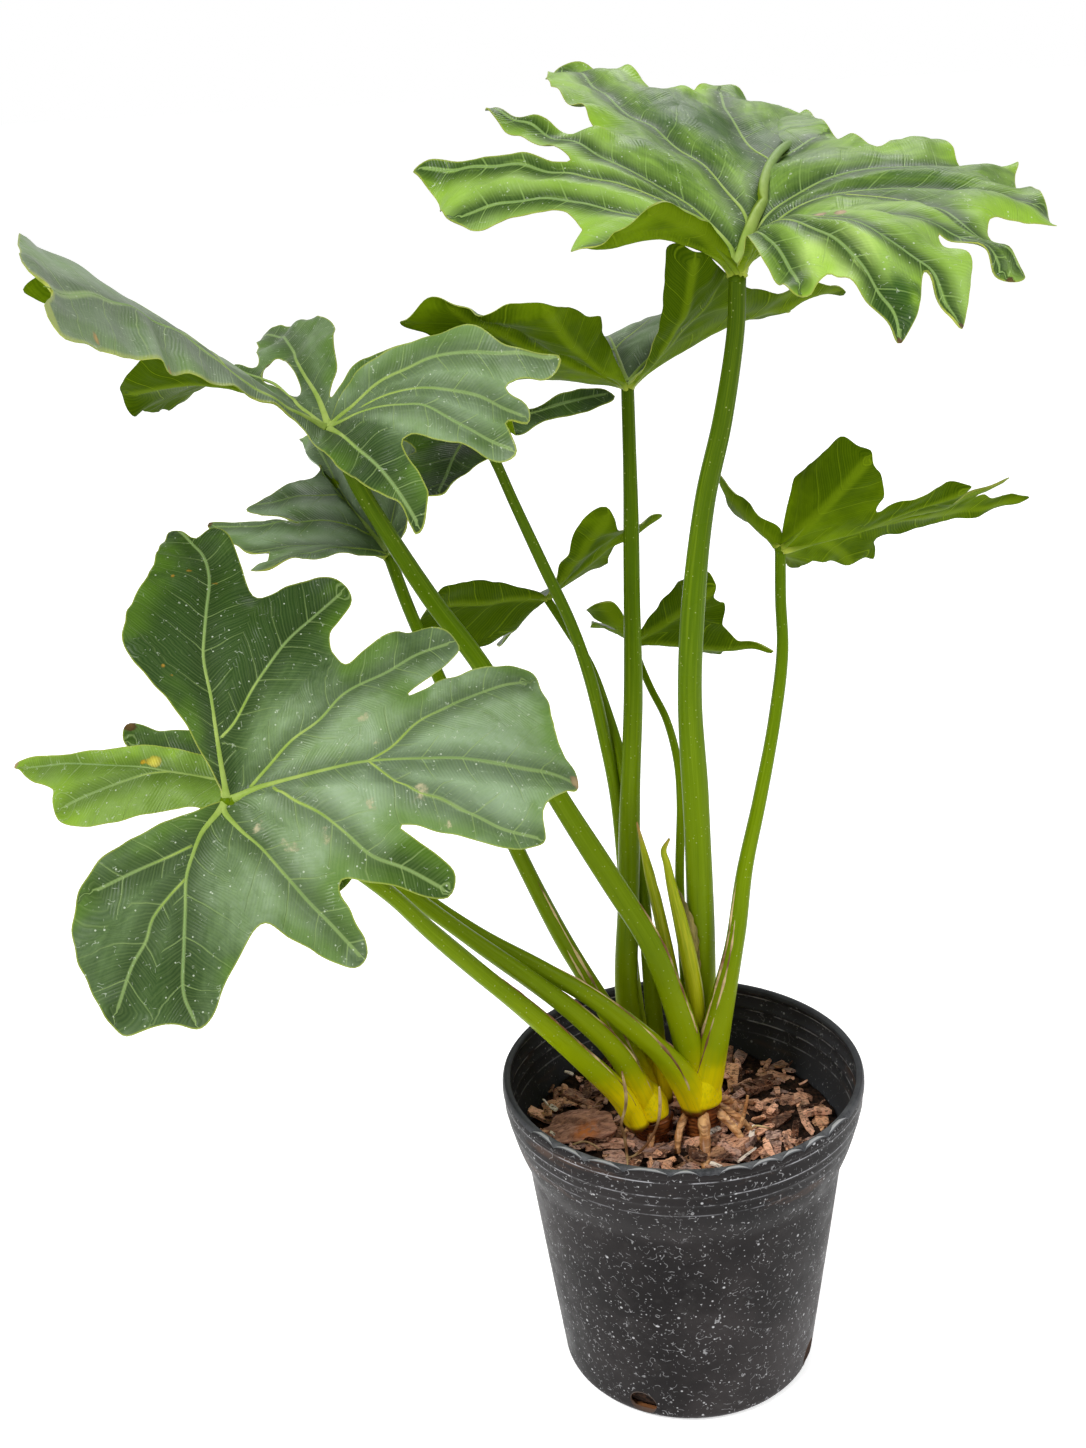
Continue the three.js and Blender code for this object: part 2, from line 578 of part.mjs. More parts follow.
// A stalk's route ends at the underside of its blade's hub and runs on through it.
function stalkRoute(leaf, route) {
  const { up } = leafFrame(leaf);
  const hub = new THREE.Vector3(...leaf.at).addScaledVector(up, -bladeThickness - ribHeight);
  const before = new THREE.Vector3(...route[route.length - 2]);
  const past = hub.clone().addScaledVector(hub.clone().sub(before).normalize(), 5);
  return [...route.slice(0, -1), hub.toArray(), past.toArray()];
}

// The pot: a lathed shell with a rounded heel, and drain holes low in its wall.
function potShell() {
  const outside = [[0, 0]];
  const inside = [[0, floorThickness]];
  for (let i = 0; i <= 3; i++) {
    const turn = radians(90 * i / 3);
    const bend = [Math.sin(turn), 1 - Math.cos(turn)];
    outside.push([baseRadius - heelRadius * (1 - bend[0]), heelRadius * bend[1]]);
  }
  inside.push([baseRadius - heelRadius, floorThickness], [baseRadius - wall, heelRadius + 1]);
  outside.push(...potOutside);
  for (const [radius, z] of potOutside.slice(0, -3)) inside.push([radius - wall, z + 1]);
  inside.push([125.2, potHeight - 0.6]);
  const profile = [...outside, ...inside.reverse()].map(([r, z]) => new THREE.Vector2(r, z));
  const lathe = new THREE.LatheGeometry(profile, 36);
  lathe.rotateX(Math.PI / 2);
  let shell = solidFromGeometry(lathe);
  for (let i = 0; i < drainHoles; i++) {
    const drill = new THREE.CylinderGeometry(drainHoleRadius, drainHoleRadius, 26, 12);
    drill.rotateZ(Math.PI / 2);
    drill.rotateY(radians(8));
    drill.translate(baseRadius - 1, 0, drainHoleHeight);
    drill.rotateZ(radians(drainHoleBearing + 360 * i / drainHoles));
    shell = shell.subtract(solidFromGeometry(drill));
  }
  return largestPiece(shell);
}

// The bark mix fills the pot to its top, with flat chips of many sizes lying on it at all angles.
function barkMix() {
  const profile = [[0, floorThickness + gap], [83, floorThickness + gap], [89.3, heelRadius + 2]];
  profile.push([108.4, 160], [109.3, 169], [112.6, barkHeight - 3], [104, barkHeight], [0, barkHeight + 3]);
  const lathe = new THREE.LatheGeometry(profile.map(([r, z]) => new THREE.Vector2(r, z)), 28);
  lathe.rotateX(Math.PI / 2);
  let mix = solidFromGeometry(lathe);
  for (let i = 0; i < barkChips; i++) {
    const turn = 2.39996 * i;
    const out = 103 * Math.sqrt((i + 0.6) / barkChips);
    const length = 11 + 10 * random();
    const width = 7 + 6 * random();
    const chip = new THREE.CylinderGeometry(1, 0.85, 4 + 3 * random(), 5);
    chip.rotateX(Math.PI / 2);
    chip.scale(out > 90 ? 9 : length, out > 90 ? 7 : width, 1);
    chip.rotateY(radians(40 * (random() - 0.5)));
    chip.rotateX(radians(40 * (random() - 0.5)));
    chip.rotateZ(2 * Math.PI * random());
    chip.translate(out * Math.cos(turn), out * Math.sin(turn), barkHeight + 2.5 + 2.5 * random());
    mix = mix.add(solidFromGeometry(chip));
  }
  const flake = new THREE.CylinderGeometry(1, 0.95, 3, 7);
  flake.rotateX(Math.PI / 2);
  flake.scale(29, 21, 1);
  flake.rotateY(radians(-9));
  flake.rotateX(radians(16));
  flake.rotateZ(radians(-35));
  flake.translate(-74, -8, barkHeight + 9);
  return mix.add(solidFromGeometry(flake));
}

// A crown: a ringed stub of stem joined with its roots.
function crown({ centre, top, radius, roots }, grow = 0) {
  const bottom = 150;
  const profile = [
    [0, bottom - grow], [radius * 0.55 + grow, bottom - grow], [radius * 0.8 + grow, 178],
    [radius + grow, 188], [radius * 0.93 + grow, 193], [radius + grow, 197],
    [radius * 0.94 + grow, top + grow], [0, top + grow],
  ];
  const lathe = new THREE.LatheGeometry(profile.map(([r, z]) => new THREE.Vector2(r, z)), 14);
  lathe.rotateX(Math.PI / 2);
  lathe.translate(centre[0], centre[1], 0);
  let body = solidFromGeometry(lathe);
  for (const { route, radii } of roots) {
    const taper = [[0, radii[0]], [1, radii[1]]];
    body = body.add(stem(route, taper, { sides: 6, steps: 4, grow }));
  }
  return body;
}

// Assembly: each piece is cut clear of the pieces that it fits round by the gap between them.
const plant = new THREE.Group();
const placed = [];

function place(name, solid, cutter, colour, roughness) {
  plant.add(namedMesh(name, solid, colour, roughness));
  placed.push(cutter);
}

function clearOf(solid, cutters) {
  let rest = solid;
  for (const cutter of cutters) rest = rest.subtract(cutter);
  return largestPiece(rest);
}

for (const item of crowns) {
  place(item.name, crown(item), crown(item, gap), item.colour, 0.85);
}
for (const leaf of leaves) {
  plant.add(namedMesh(`blade_${leaf.name}`, blade(leaf), colours.bladeTop, 0.45));
}
for (const { leaf, route, taper } of stalks) {
  const carried = leaves.find(({ name }) => name === leaf);
  const line = stalkRoute(carried, route);
  const options = { sides: 8, steps: 13 };
  const solid = clearOf(stem(line, taper, options), [hubBlock(carried), ...placed]);
  place(`stalk_${leaf}`, solid, stem(line, taper, { ...options, grow: gap }), colours.stalk, 0.42);
}
for (const { name, colour, route, taper, flatness } of [...spears, sheath, ...fibres]) {
  const options = { sides: 6, steps: flatness || route.length > 5 ? 7 : 4, flatness };
  const solid = clearOf(stem(route, taper, options), placed);
  place(name, solid, stem(route, taper, { ...options, grow: gap }), colour, 0.5);
}
const bark = clearOf(barkMix(), placed.filter((cutter) => cutter.boundingBox().min[2] < 200));
plant.add(namedMesh("bark_mix", bark, colours.bark, 0.95));
plant.add(namedMesh("pot", potShell(), colours.pot, 0.4));

export default plant;
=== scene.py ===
# %% [markdown]
# # A potted tree philodendron
# A black nursery pot holds bark mix, and from two short crowns of stem rise eleven deeply lobed
# leaves on long stalks. The solids of the part give every place and size. This lesson gives each
# of them its real surface: cut and ribbed blades, clasping stalks, loose bark and worn plastic.

# %% Load the solids
import math

import bpy
import numpy as np
from mathutils import Matrix, Vector
from mathutils.geometry import delaunay_2d_cdt


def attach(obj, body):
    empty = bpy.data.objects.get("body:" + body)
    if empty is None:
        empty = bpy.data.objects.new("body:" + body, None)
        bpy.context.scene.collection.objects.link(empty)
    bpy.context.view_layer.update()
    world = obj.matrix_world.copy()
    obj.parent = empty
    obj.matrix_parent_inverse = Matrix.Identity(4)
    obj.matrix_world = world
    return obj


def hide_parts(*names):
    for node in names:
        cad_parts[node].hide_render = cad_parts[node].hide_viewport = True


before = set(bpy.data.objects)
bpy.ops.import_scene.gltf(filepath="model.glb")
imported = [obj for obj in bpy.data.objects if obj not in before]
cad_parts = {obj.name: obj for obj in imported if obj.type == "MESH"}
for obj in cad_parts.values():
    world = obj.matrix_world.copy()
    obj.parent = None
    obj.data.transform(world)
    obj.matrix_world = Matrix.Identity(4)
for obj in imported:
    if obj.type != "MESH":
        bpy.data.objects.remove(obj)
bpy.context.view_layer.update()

# %% [markdown]
# ## Camera
# The plant was seen from a little above its pot, with the camera tipped down and turned slightly
# on its own axis. An Euler angle for each turn would work. Here the three axes of the camera are
# worked out and set at once, because the small roll is then easy to read.

# %% Set the camera
pitch = math.radians(20.95)
roll = math.radians(-3.1)
forward = Vector((0, math.cos(pitch), -math.sin(pitch)))
upright = Vector((0, math.sin(pitch), math.cos(pitch)))
right = math.cos(roll) * Vector((1, 0, 0)) + math.sin(roll) * upright
up = -math.sin(roll) * Vector((1, 0, 0)) + math.cos(roll) * upright
bpy.ops.object.camera_add()
camera = bpy.context.object
camera.name = "camera"
camera.matrix_world = Matrix((right, up, -forward)).transposed().to_4x4()
camera.location = (-0.085, -1.1, 0.921)
camera.data.sensor_width = 36
camera.data.lens = 44.66
bpy.context.scene.camera = camera
print("camera lens", camera.data.lens)

# %% [markdown]
# ## Floor and light
# The plant stands on a plain white floor under soft, even daylight. One even white sky would put a
# grey veil on every glossy leaf, so the sky is white only near the horizon and dimmer above. Large
# area lamps, hung well away, add the broad highlights. The floor glows a little, so that it stays
# white to the horizon. The Standard view keeps the strong greens, which a filmic view washes out.

# %% Lay the floor
def deselect():
    bpy.ops.object.select_all(action="DESELECT")


deselect()
bpy.ops.mesh.primitive_plane_add(size=60, location=(0, 0, -0.0003))
floor = bpy.context.object
floor.name = "floor"
floor_finish = bpy.data.materials.new("white_floor")
floor_finish.use_nodes = True
floor_shader = floor_finish.node_tree.nodes["Principled BSDF"]
floor_shader.inputs["Base Color"].default_value = (0.92, 0.92, 0.92, 1)
floor_shader.inputs["Roughness"].default_value = 0.8
floor_shader.inputs["Specular IOR Level"].default_value = 0.0
floor_shader.inputs["Emission Color"].default_value = (1, 1, 1, 1)
floor_shader.inputs["Emission Strength"].default_value = 0.6
floor.data.materials.append(floor_finish)
print("floor laid:", round(floor.dimensions.x), "m wide")

# %% Hang the lights
sky = bpy.data.worlds.new("white_sky")
sky.use_nodes = True
sky_nodes, sky_links = sky.node_tree.nodes, sky.node_tree.links
toward = sky_nodes.new("ShaderNodeTexCoord")
parts = sky_nodes.new("ShaderNodeSeparateXYZ")
dimming = sky_nodes.new("ShaderNodeMapRange")
for socket, value in {"From Min": 0.05, "From Max": 0.4, "To Min": 1.0, "To Max": 0.42}.items():
    dimming.inputs[socket].default_value = value
sky_links.new(toward.outputs["Generated"], parts.inputs[0])
sky_links.new(parts.outputs[2], dimming.inputs["Value"])
sky_links.new(dimming.outputs[0], sky_nodes["Background"].inputs["Strength"])
sky_nodes["Background"].inputs["Color"].default_value = (1, 1, 1, 1)
bpy.context.scene.world = sky
bpy.context.scene.view_settings.view_transform = "Standard"


def hang_lamp(name, place, size, power):
    bpy.ops.object.light_add(type="AREA", location=place)
    lamp = bpy.context.object
    lamp.name = name
    lamp.data.size = size
    lamp.data.energy = power
    aim = Vector((-0.08, 0, 0.5)) - Vector(place)
    lamp.rotation_euler = aim.to_track_quat("-Z", "Y").to_euler()
    return lamp


hang_lamp("key_lamp", (-1.8, -2.0, 3.5), 1.0, 118)
hang_lamp("side_lamp", (2.7, -1.1, 2.0), 1.2, 26)
hang_lamp("back_lamp", (0.8, 2.6, 3.2), 1.7, 36)

# %% [markdown]
# ## Helpers for shapes
# Stalks, roots and ribs are long soft tubes, and the pot and crowns are turned shapes. A tube
# could be a curve with a bevel, but its section couldn't flatten or carry a groove. So a flat grid
# is added and wrapped round a route: each point of the grid knows how far along and how far
# round it lies. All sizes are in millimetres, and they become metres as the points are written.

# %% Smooth routes
def through(corners, spacing):
    """Evenly spaced points on a smooth curve through the corners."""
    rows = np.array(corners, float)
    rows = np.vstack([2 * rows[0] - rows[1], rows, 2 * rows[-1] - rows[-2]])
    points = [rows[1]]
    for a, b, c, d in zip(rows, rows[1:], rows[2:], rows[3:]):
        before, here, after = (max(np.linalg.norm(q - p), 1e-4) ** 0.5 for p, q in ((a, b), (b, c), (c, d)))
        leave = ((b - a) / before - (c - a) / (before + here) + (c - b) / here) * here
        reach = ((c - b) / here - (d - b) / (here + after) + (d - c) / after) * here
        for t in np.linspace(0, 1, 17)[1:]:
            bend, twist = 3 * (c - b) - 2 * leave - reach, 2 * (b - c) + leave + reach
            points.append(b + leave * t + bend * t**2 + twist * t**3)
    points = np.array(points)
    steps = np.r_[0, np.cumsum(np.linalg.norm(np.diff(points, axis=0), axis=1))]
    count = max(2, int(round(steps[-1] / spacing)) + 1)
    even = np.linspace(0, steps[-1], count)
    return np.column_stack([np.interp(even, steps, points[:, k]) for k in range(points.shape[1])])


# %% Grids and tubes
def read_points(piece):
    flat = np.empty(len(piece.data.vertices) * 3)
    piece.data.vertices.foreach_get("co", flat)
    return flat.reshape(-1, 3)


def write_points(piece, points):
    piece.data.vertices.foreach_set("co", (np.asarray(points) * 0.001).ravel())
    piece.data.update()


def select_only(piece):
    deselect()
    piece.select_set(True)
    bpy.context.view_layer.objects.active = piece


def close_up(piece, merge=0.00002):
    """Seams and poles are merged, and then all faces are turned outwards."""
    select_only(piece)
    bpy.ops.object.mode_set(mode="EDIT")
    bpy.ops.mesh.select_all(action="SELECT")
    bpy.ops.mesh.remove_doubles(threshold=merge)
    bpy.ops.mesh.normals_make_consistent(inside=False)
    bpy.ops.object.mode_set(mode="OBJECT")
    bpy.ops.object.shade_smooth()


def wrapped_grid(name, around, along, place):
    """A flat grid is added, and then each point moves to where place(round, along) says."""
    deselect()
    bpy.ops.mesh.primitive_grid_add(x_subdivisions=around, y_subdivisions=along, size=2)
    piece = bpy.context.object
    piece.name = name
    piece.data.name = name
    piece.data.uv_layers[0].name = "route"
    flat = read_points(piece)
    write_points(piece, place((flat[:, 0] + 1) / 2, (flat[:, 1] + 1) / 2))
    return piece


def unit(vectors):
    return vectors / np.maximum(np.linalg.norm(vectors, axis=-1, keepdims=True), 1e-9)


def tube(name, route, taper, around=20, spacing=4.0, flat=1.0, facing=(0, -1, 0), swell=None):
    """A closed tube along a route. facing is the side at a quarter turn, and swell shapes it."""
    line = through(route, spacing)
    rows = len(line) + 1
    ahead = unit(np.gradient(line, axis=0))
    front = unit(np.array(facing, float) - (ahead @ np.array(facing, float))[:, None] * ahead)
    side = np.cross(ahead, front)
    taper = np.array(taper, float)

    def place(turn, share):
        step = np.rint(share * rows)
        spot = np.clip(step - 1, 0, rows - 2)
        index = spot.astype(int)
        part = spot / (rows - 2)
        radius = np.interp(part, taper[:, 0], taper[:, 1])
        angle = 2 * np.pi * turn
        if swell is not None:
            radius = radius * swell(part, angle)
        radius = np.where((step < 0.5) | (step > rows - 0.5), 0, radius)
        out = np.cos(angle)[:, None] * side[index] + np.sin(angle)[:, None] * front[index] * flat
        return line[index] + out * radius[:, None]

    piece = wrapped_grid(name, around, rows, place)
    close_up(piece)
    return piece


# %% Smooth unevenness
def ripple(points, size, seed):
    """Soft bumps from -1 to 1 that repeat nowhere: a few waves in seeded directions."""
    dice = np.random.default_rng(seed)
    total = 0
    for _ in range(7):
        way = unit(dice.normal(size=points.shape[1])) * dice.uniform(0.6, 1.5) * 2 * np.pi / size
        total = total + np.sin(points @ way + dice.uniform(0, 2 * np.pi))
    return total / 3.2


def apply_modifier(piece, kind, **settings):
    select_only(piece)
    modifier = piece.modifiers.new(kind.lower(), kind)
    for key, value in settings.items():
        setattr(modifier, key, value)
    bpy.ops.object.modifier_apply(modifier=modifier.name)


def join(pieces, name):
    deselect()
    for piece in pieces:
        piece.select_set(True)
    bpy.context.view_layer.objects.active = pieces[0]
    bpy.ops.object.join()
    pieces[0].name = name
    return pieces[0]


def keep(piece, slot, *nodes):
    """The piece rides on the plant and stands for its solids. The slot is not used."""
    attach(piece, "root")
    if nodes:
        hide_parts(*nodes)
    print(piece.name, "has", len(piece.data.polygons), "faces")


# %% [markdown]
# ## Helpers for finishes
# A finish is a small network of nodes round one shader. These helpers add a node and wire it in
# one line each, so that each finish below can be read from top to bottom like a recipe. They all
# work on the finish that was started last.

# %% Wire nodes
wiring = {}


def new_finish(name, roughness, specular=0.5, ior=1.45):
    finish = bpy.data.materials.new(name)
    finish.use_nodes = True
    shader = finish.node_tree.nodes["Principled BSDF"]
    shader.inputs["Roughness"].default_value = roughness
    shader.inputs["Specular IOR Level"].default_value = specular
    shader.inputs["IOR"].default_value = ior
    wiring.update(tree=finish.node_tree, shader=shader)
    return finish


def node(kind, inputs=None, **settings):
    made = wiring["tree"].nodes.new("ShaderNode" + kind)
    for key, value in settings.items():
        setattr(made, key, value)
    for socket, value in (inputs or {}).items():
        if isinstance(value, bpy.types.NodeSocket):
            wiring["tree"].links.new(value, made.inputs[socket])
        else:
            made.inputs[socket].default_value = value
    return made


def object_place():
    return node("TexCoord").outputs["Object"]


def axis(where, number):
    return node("SeparateXYZ", {0: where}).outputs[number]


def uv(name):
    return node("UVMap", uv_map=name).outputs[0]


def attribute(name, output="Fac"):
    return node("Attribute", attribute_name=name).outputs[output]


def calc(operation, first, second=0.0, third=0.0):
    return node("Math", {0: first, 1: second, 2: third}, operation=operation).outputs[0]


def times(first, second):
    return calc("MULTIPLY", first, second)


def plus(first, second):
    return calc("ADD", first, second)


def most(first, second):
    return calc("MAXIMUM", first, second)


def span(value, low, high, start=0.0, end=1.0):
    """A smooth step from start to end as the value goes from low to high."""
    inputs = {"Value": value, "From Min": low, "From Max": high, "To Min": start, "To Max": end}
    return node("MapRange", inputs, interpolation_type="SMOOTHSTEP").outputs[0]


def tint(share, first, second):
    """From the first colour to the second, by the share."""
    first, second = (c if isinstance(c, bpy.types.NodeSocket) else (*c, 1) for c in (first, second))
    return node("Mix", {0: share, 6: first, 7: second}, data_type="RGBA").outputs[2]


def noise(where, scale, detail=2.0, rough=0.5, warp=0.0):
    inputs = {"Vector": where, "Scale": scale, "Detail": detail, "Roughness": rough, "Distortion": warp}
    return node("TexNoise", inputs).outputs[0]


def cells(where, scale, output="Distance"):
    return node("TexVoronoi", {"Vector": where, "Scale": scale}).outputs[output]


def stretch(where, scale, turn=(0, 0, 0)):
    return node("Mapping", {"Vector": where, "Scale": scale, "Rotation": turn}).outputs[0]


def feed(socket, value):
    wiring["tree"].links.new(value, wiring["shader"].inputs[socket])


def bump(height, strength, depth_mm):
    raised = node("Bump", {"Height": height, "Strength": strength, "Distance": depth_mm * 0.001})
    feed("Normal", raised.outputs[0])


def colour_with(colour, roughness=None):
    feed("Base Color", colour)
    if roughness is not None:
        feed("Roughness", roughness)


def dots(where, scale, low, high, share):
    """Round specks of many sizes: only some of the cells carry one."""
    chance = node("SeparateColor", {0: cells(where, scale, "Color")}).outputs[0]
    size = plus(cells(where, scale), times(chance, 0.12))
    return times(span(size, low, high, 1, 0), calc("LESS_THAN", chance, share))


def curls(where, scale, width, gate):
    """Short curved hairlines: the height lines of one noise, broken up by another."""
    hills = noise(where, scale, 2, 0.5)
    line = span(calc("ABSOLUTE", calc("SUBTRACT", hills, 0.5)), 0.0, width, 1, 0)
    return times(line, span(noise(where, 2.3 * scale, 2), gate, gate + 0.05))


def dress(piece, finish):
    piece.data.materials.clear()
    piece.data.materials.append(finish)


def note(mesh, label, values):
    """Keeps one number for each point, which a finish can read by its label."""
    mesh.attributes.new(label, "FLOAT", "POINT").data.foreach_set("value", values)


def note_shade(mesh, shade):
    colours = mesh.color_attributes.new("shade", "FLOAT_COLOR", "POINT")
    colours.data.foreach_set("color", shade * len(mesh.vertices))


# %% [markdown]
# ## The pot
# A nursery pot is moulded from thin black plastic: a tapering wall, a round heel, a flared collar
# with ring steps that stiffen it, and a lip that is rolled over. It could be a lathe modifier on a
# profile. Here a ring is extruded and resized from point to point of the profile, the way a
# potter pulls a wall up, because each point then stays easy to move.

# %% Turn shapes on a ring
def turned(name, profile, around, centre=(0, 0)):
    deselect()
    radius, height = profile[0]
    bpy.ops.mesh.primitive_circle_add(vertices=around, radius=radius * 0.001, fill_type="NOTHING")
    piece = bpy.context.object
    piece.name = name
    bpy.ops.object.mode_set(mode="EDIT")
    bpy.ops.mesh.select_all(action="SELECT")
    bpy.ops.transform.translate(value=(centre[0] * 0.001, centre[1] * 0.001, height * 0.001))
    middle = Vector((centre[0], centre[1], 0)) * 0.001
    for wide, high in profile[1:]:
        rise = {"value": (0, 0, (high - height) * 0.001)}
        bpy.ops.mesh.extrude_edges_move(TRANSFORM_OT_translate=rise)
        grow = wide / radius
        over = (middle.x, middle.y, high * 0.001)
        bpy.ops.transform.resize(value=(grow, grow, 1), center_override=over)
        radius, height = wide, high
    bpy.ops.object.mode_set(mode="OBJECT")
    return piece


# %% Make the pot's wall
heel_turns = [math.radians(angle) for angle in range(0, 91, 15)]
heel = [[84 + 8.5 * math.sin(turn), 8.5 * (1 - math.cos(turn))] for turn in heel_turns]
outside = [
    [98.2, 54], [104.8, 107], [111.2, 160], [111.8, 164.5], [112.2, 167.5], [112.9, 170.2], [114.6, 175],
    [116.6, 180], [118.3, 184.6], [119.8, 189.2], [121.2, 194], [122.4, 198.4], [123.4, 203],
    [123.8, 205.4], [124.5, 206.6], [124.9, 208.2], [125.2, 211.6], [125.4, 213.4], [126.2, 214.6],
    [126.5, 216], [126.6, 220], [126.6, 224.2], [126.8, 225.4], [127.5, 226.5], [127.6, 228],
]
rolled_lip = [
    [127.5, 231.2], [127.1, 233.2], [126.2, 234.6], [125, 235], [123.2, 234.8], [122, 233.8], [121.8, 232],
]
inside_wall = [
    [122.4, 229.6], [124.2, 228], [124.8, 226.4], [124.8, 222], [124.4, 219.4], [123.2, 218], [123, 216.6],
    [123.8, 215.4], [123.6, 211], [123.1, 208.6], [121.9, 207.4], [121.7, 206], [122.2, 204.6],
    [121.2, 200], [119.6, 194.6], [117.8, 189.2], [116.3, 184.6], [114.6, 180], [112.6, 175],
    [110.9, 170.2], [110.2, 166], [109.4, 160], [103, 107], [96.4, 54], [90.8, 12], [89.2, 6.6],
    [86.6, 3.8], [83.4, 3], [50, 3], [1, 3],
]
pot = turned("pot_shell", [[1, 0], [50, 0], [76, 0]] + heel + outside + rolled_lip + inside_wall, 240)
close_up(pot, merge=0.00015)
print("pot wall:", len(pot.data.polygons), "faces")

# %% [markdown]
# Four drain holes go through the foot of the wall. They are cut with one set of drills in a single
# Boolean, and the points on their walls are noted for the finish. In front a thin black edge that was
# never trimmed stands up before the worn grey lip in scallops of uneven width. It is one strip whose
# top rises in an arch between each two cusps.

# %% Drill the pot and wave its lip
hole_turns = [math.radians(-115.5 + 90 * number) for number in range(4)]
hole_out, hole_high, hole_radius = 91.5, 13.5, 10
wall_slant = math.radians(8)
drills = []
for turn in hole_turns:
    deselect()
    place = Vector((hole_out * math.cos(turn), hole_out * math.sin(turn), hole_high)) / 1000
    bpy.ops.mesh.primitive_cylinder_add(vertices=48, radius=hole_radius / 1000, depth=0.026, location=place)
    drill = bpy.context.object
    drill.rotation_euler = (0, math.pi / 2 + wall_slant, turn)
    drills.append(drill)
drill = join(drills, "drills")
apply_modifier(pot, "BOOLEAN", object=drill, operation="DIFFERENCE", solver="EXACT")
bpy.data.objects.remove(drill)

points = read_points(pot) * 1000
rim = np.zeros(len(points))
for turn in hole_turns:
    aside = points[:, 1] * math.cos(turn) - points[:, 0] * math.sin(turn)
    ahead = points[:, 0] * math.cos(turn) + points[:, 1] * math.sin(turn)
    above = points[:, 2] - hole_high + (ahead - hole_out) * math.tan(wall_slant)
    off = np.hypot(aside, above * math.cos(wall_slant))
    rim[(np.abs(off - hole_radius) < 0.5) & (ahead > 0)] = 1
note(pot.data, "rim", rim)
turn = np.arctan2(points[:, 1], points[:, 0])
out = np.hypot(points[:, 0], points[:, 1])
wobble = lambda turn, high: 1 + 0.0016 * np.sin(turn * 3 + 0.6) * np.clip(high / 235, 0, 1)
points[:, 0] *= wobble(turn, points[:, 2])
points[:, 1] *= wobble(turn, points[:, 2])
write_points(pot, points)
select_only(pot)
bpy.ops.object.shade_smooth_by_angle(angle=math.radians(38))

profile = np.array([[1, 0], [76, 0]] + heel + outside + rolled_lip[:4])
inner = np.interp(points[:, 2], profile[:, 1], profile[:, 0]) - out > 0.9
note(pot.data, "inner", inner.astype(float))

cusps = np.array([-148, -137, -125.3, -112.6, -98.4, -90, -87, -84.5, -74.8, -64.9, -56.4, -46, -34])
flash_foot, cusp_high, arch_high = 228.6, 231.2, 4.1


def arch_top(bearing):
    number = np.clip(np.searchsorted(cusps, bearing, "right") - 1, 0, len(cusps) - 2)
    start, width = cusps[number], np.diff(cusps)[number]
    arch = np.sin(np.pi * np.clip((bearing - start) / width, 0, 1)) ** 0.5 * np.minimum(1, width / 9)
    return cusp_high + arch_high * arch


def scalloped(turn, share):
    """The section of the strip, which rises from the lip to the arches and comes down inside."""
    bearing = cusps[0] + (cusps[-1] - cusps[0]) * share
    part = turn * 7
    radius = np.interp(part, range(8), [127.2, 128.0, 128.2, 127.9, 126.8, 124.6, 126.2, 127.2])
    up_to = np.interp(part, range(8), [0, 0.1, 0.5, 0.92, 1.04, 1, 0.3, 0])
    z = flash_foot + (arch_top(bearing) - flash_foot) * up_to
    at_end = (share < 0.001) | (share > 0.999)
    radius, z = np.where(at_end, 127.2, radius), np.where(at_end, 230, z)
    angle = np.radians(bearing)
    radius = radius * wobble(angle, z)
    return np.column_stack([radius * np.cos(angle), radius * np.sin(angle), z])


flash = wrapped_grid("lip_flash", 14, 300, scalloped)
close_up(flash)
points = read_points(flash) * 1000
top_here = arch_top(np.degrees(np.arctan2(points[:, 1], points[:, 0])))
crest = (points[:, 2] - flash_foot) / (top_here - flash_foot) > 0.985
note(flash.data, "crest", crest.astype(float))
print("lip strip:", len(flash.data.polygons), "faces, drain holes:", len(hole_turns))

# %% [markdown]
# Black plastic that has stood outdoors is never plain: it has a satin skin, a scatter of pale specks
# and short curved scratches, and faint brown water stains under the rim. Thin light lines at its
# ring steps are painted highlights. Low inside it is rusty brown, which shows in the drain holes.

# %% Finish the pot
plastic = new_finish("black_nursery_plastic", 0.42, 0.4, 1.16)
where = object_place()
cloud = noise(where, 9, 4, 0.6)
grain = noise(where, 60, 5, 0.65)
colour = tint(span(cloud, 0.35, 0.7), (0.011, 0.0096, 0.0098), (0.032, 0.0275, 0.0275))
colour = tint(times(attribute("inner"), 0.8), colour, (0.05, 0.051, 0.056))
colour = tint(span(grain, 0.5, 0.8, 0, 0.5), colour, (0.05, 0.047, 0.046))
height = axis(where, 2)
painted_fold_shading = noise(stretch(where, (14, 14, 60)), 1, 4, 0.6)
stain = times(span(painted_fold_shading, 0.58, 0.72), span(height, 0.17, 0.21))
colour = tint(span(height, 0.17, 0.19, 0, 0.4), colour, (0.009, 0.0085, 0.009))
colour = tint(times(stain, 0.22), colour, (0.2, 0.1, 0.055))

specks = most(dots(where, 130, 0.09, 0.18, 0.38), dots(where, 300, 0.12, 0.22, 0.26))
lines = times(curls(where, 70, 0.012, 0.54), 0.55)
lines = most(lines, times(curls(where, 150, 0.018, 0.56), 0.5))
smudge = span(noise(where, 48, 4, 0.7), 0.64, 0.74, 0, 0.16)
chip = span(noise(where, 85, 2, 0.5), 0.755, 0.775)
marks = most(most(specks, lines), most(smudge, chip))
inward = calc("MULTIPLY_ADD", attribute("inner"), -0.55, 0.9)
colour = tint(times(marks, inward), colour, (0.46, 0.46, 0.47))

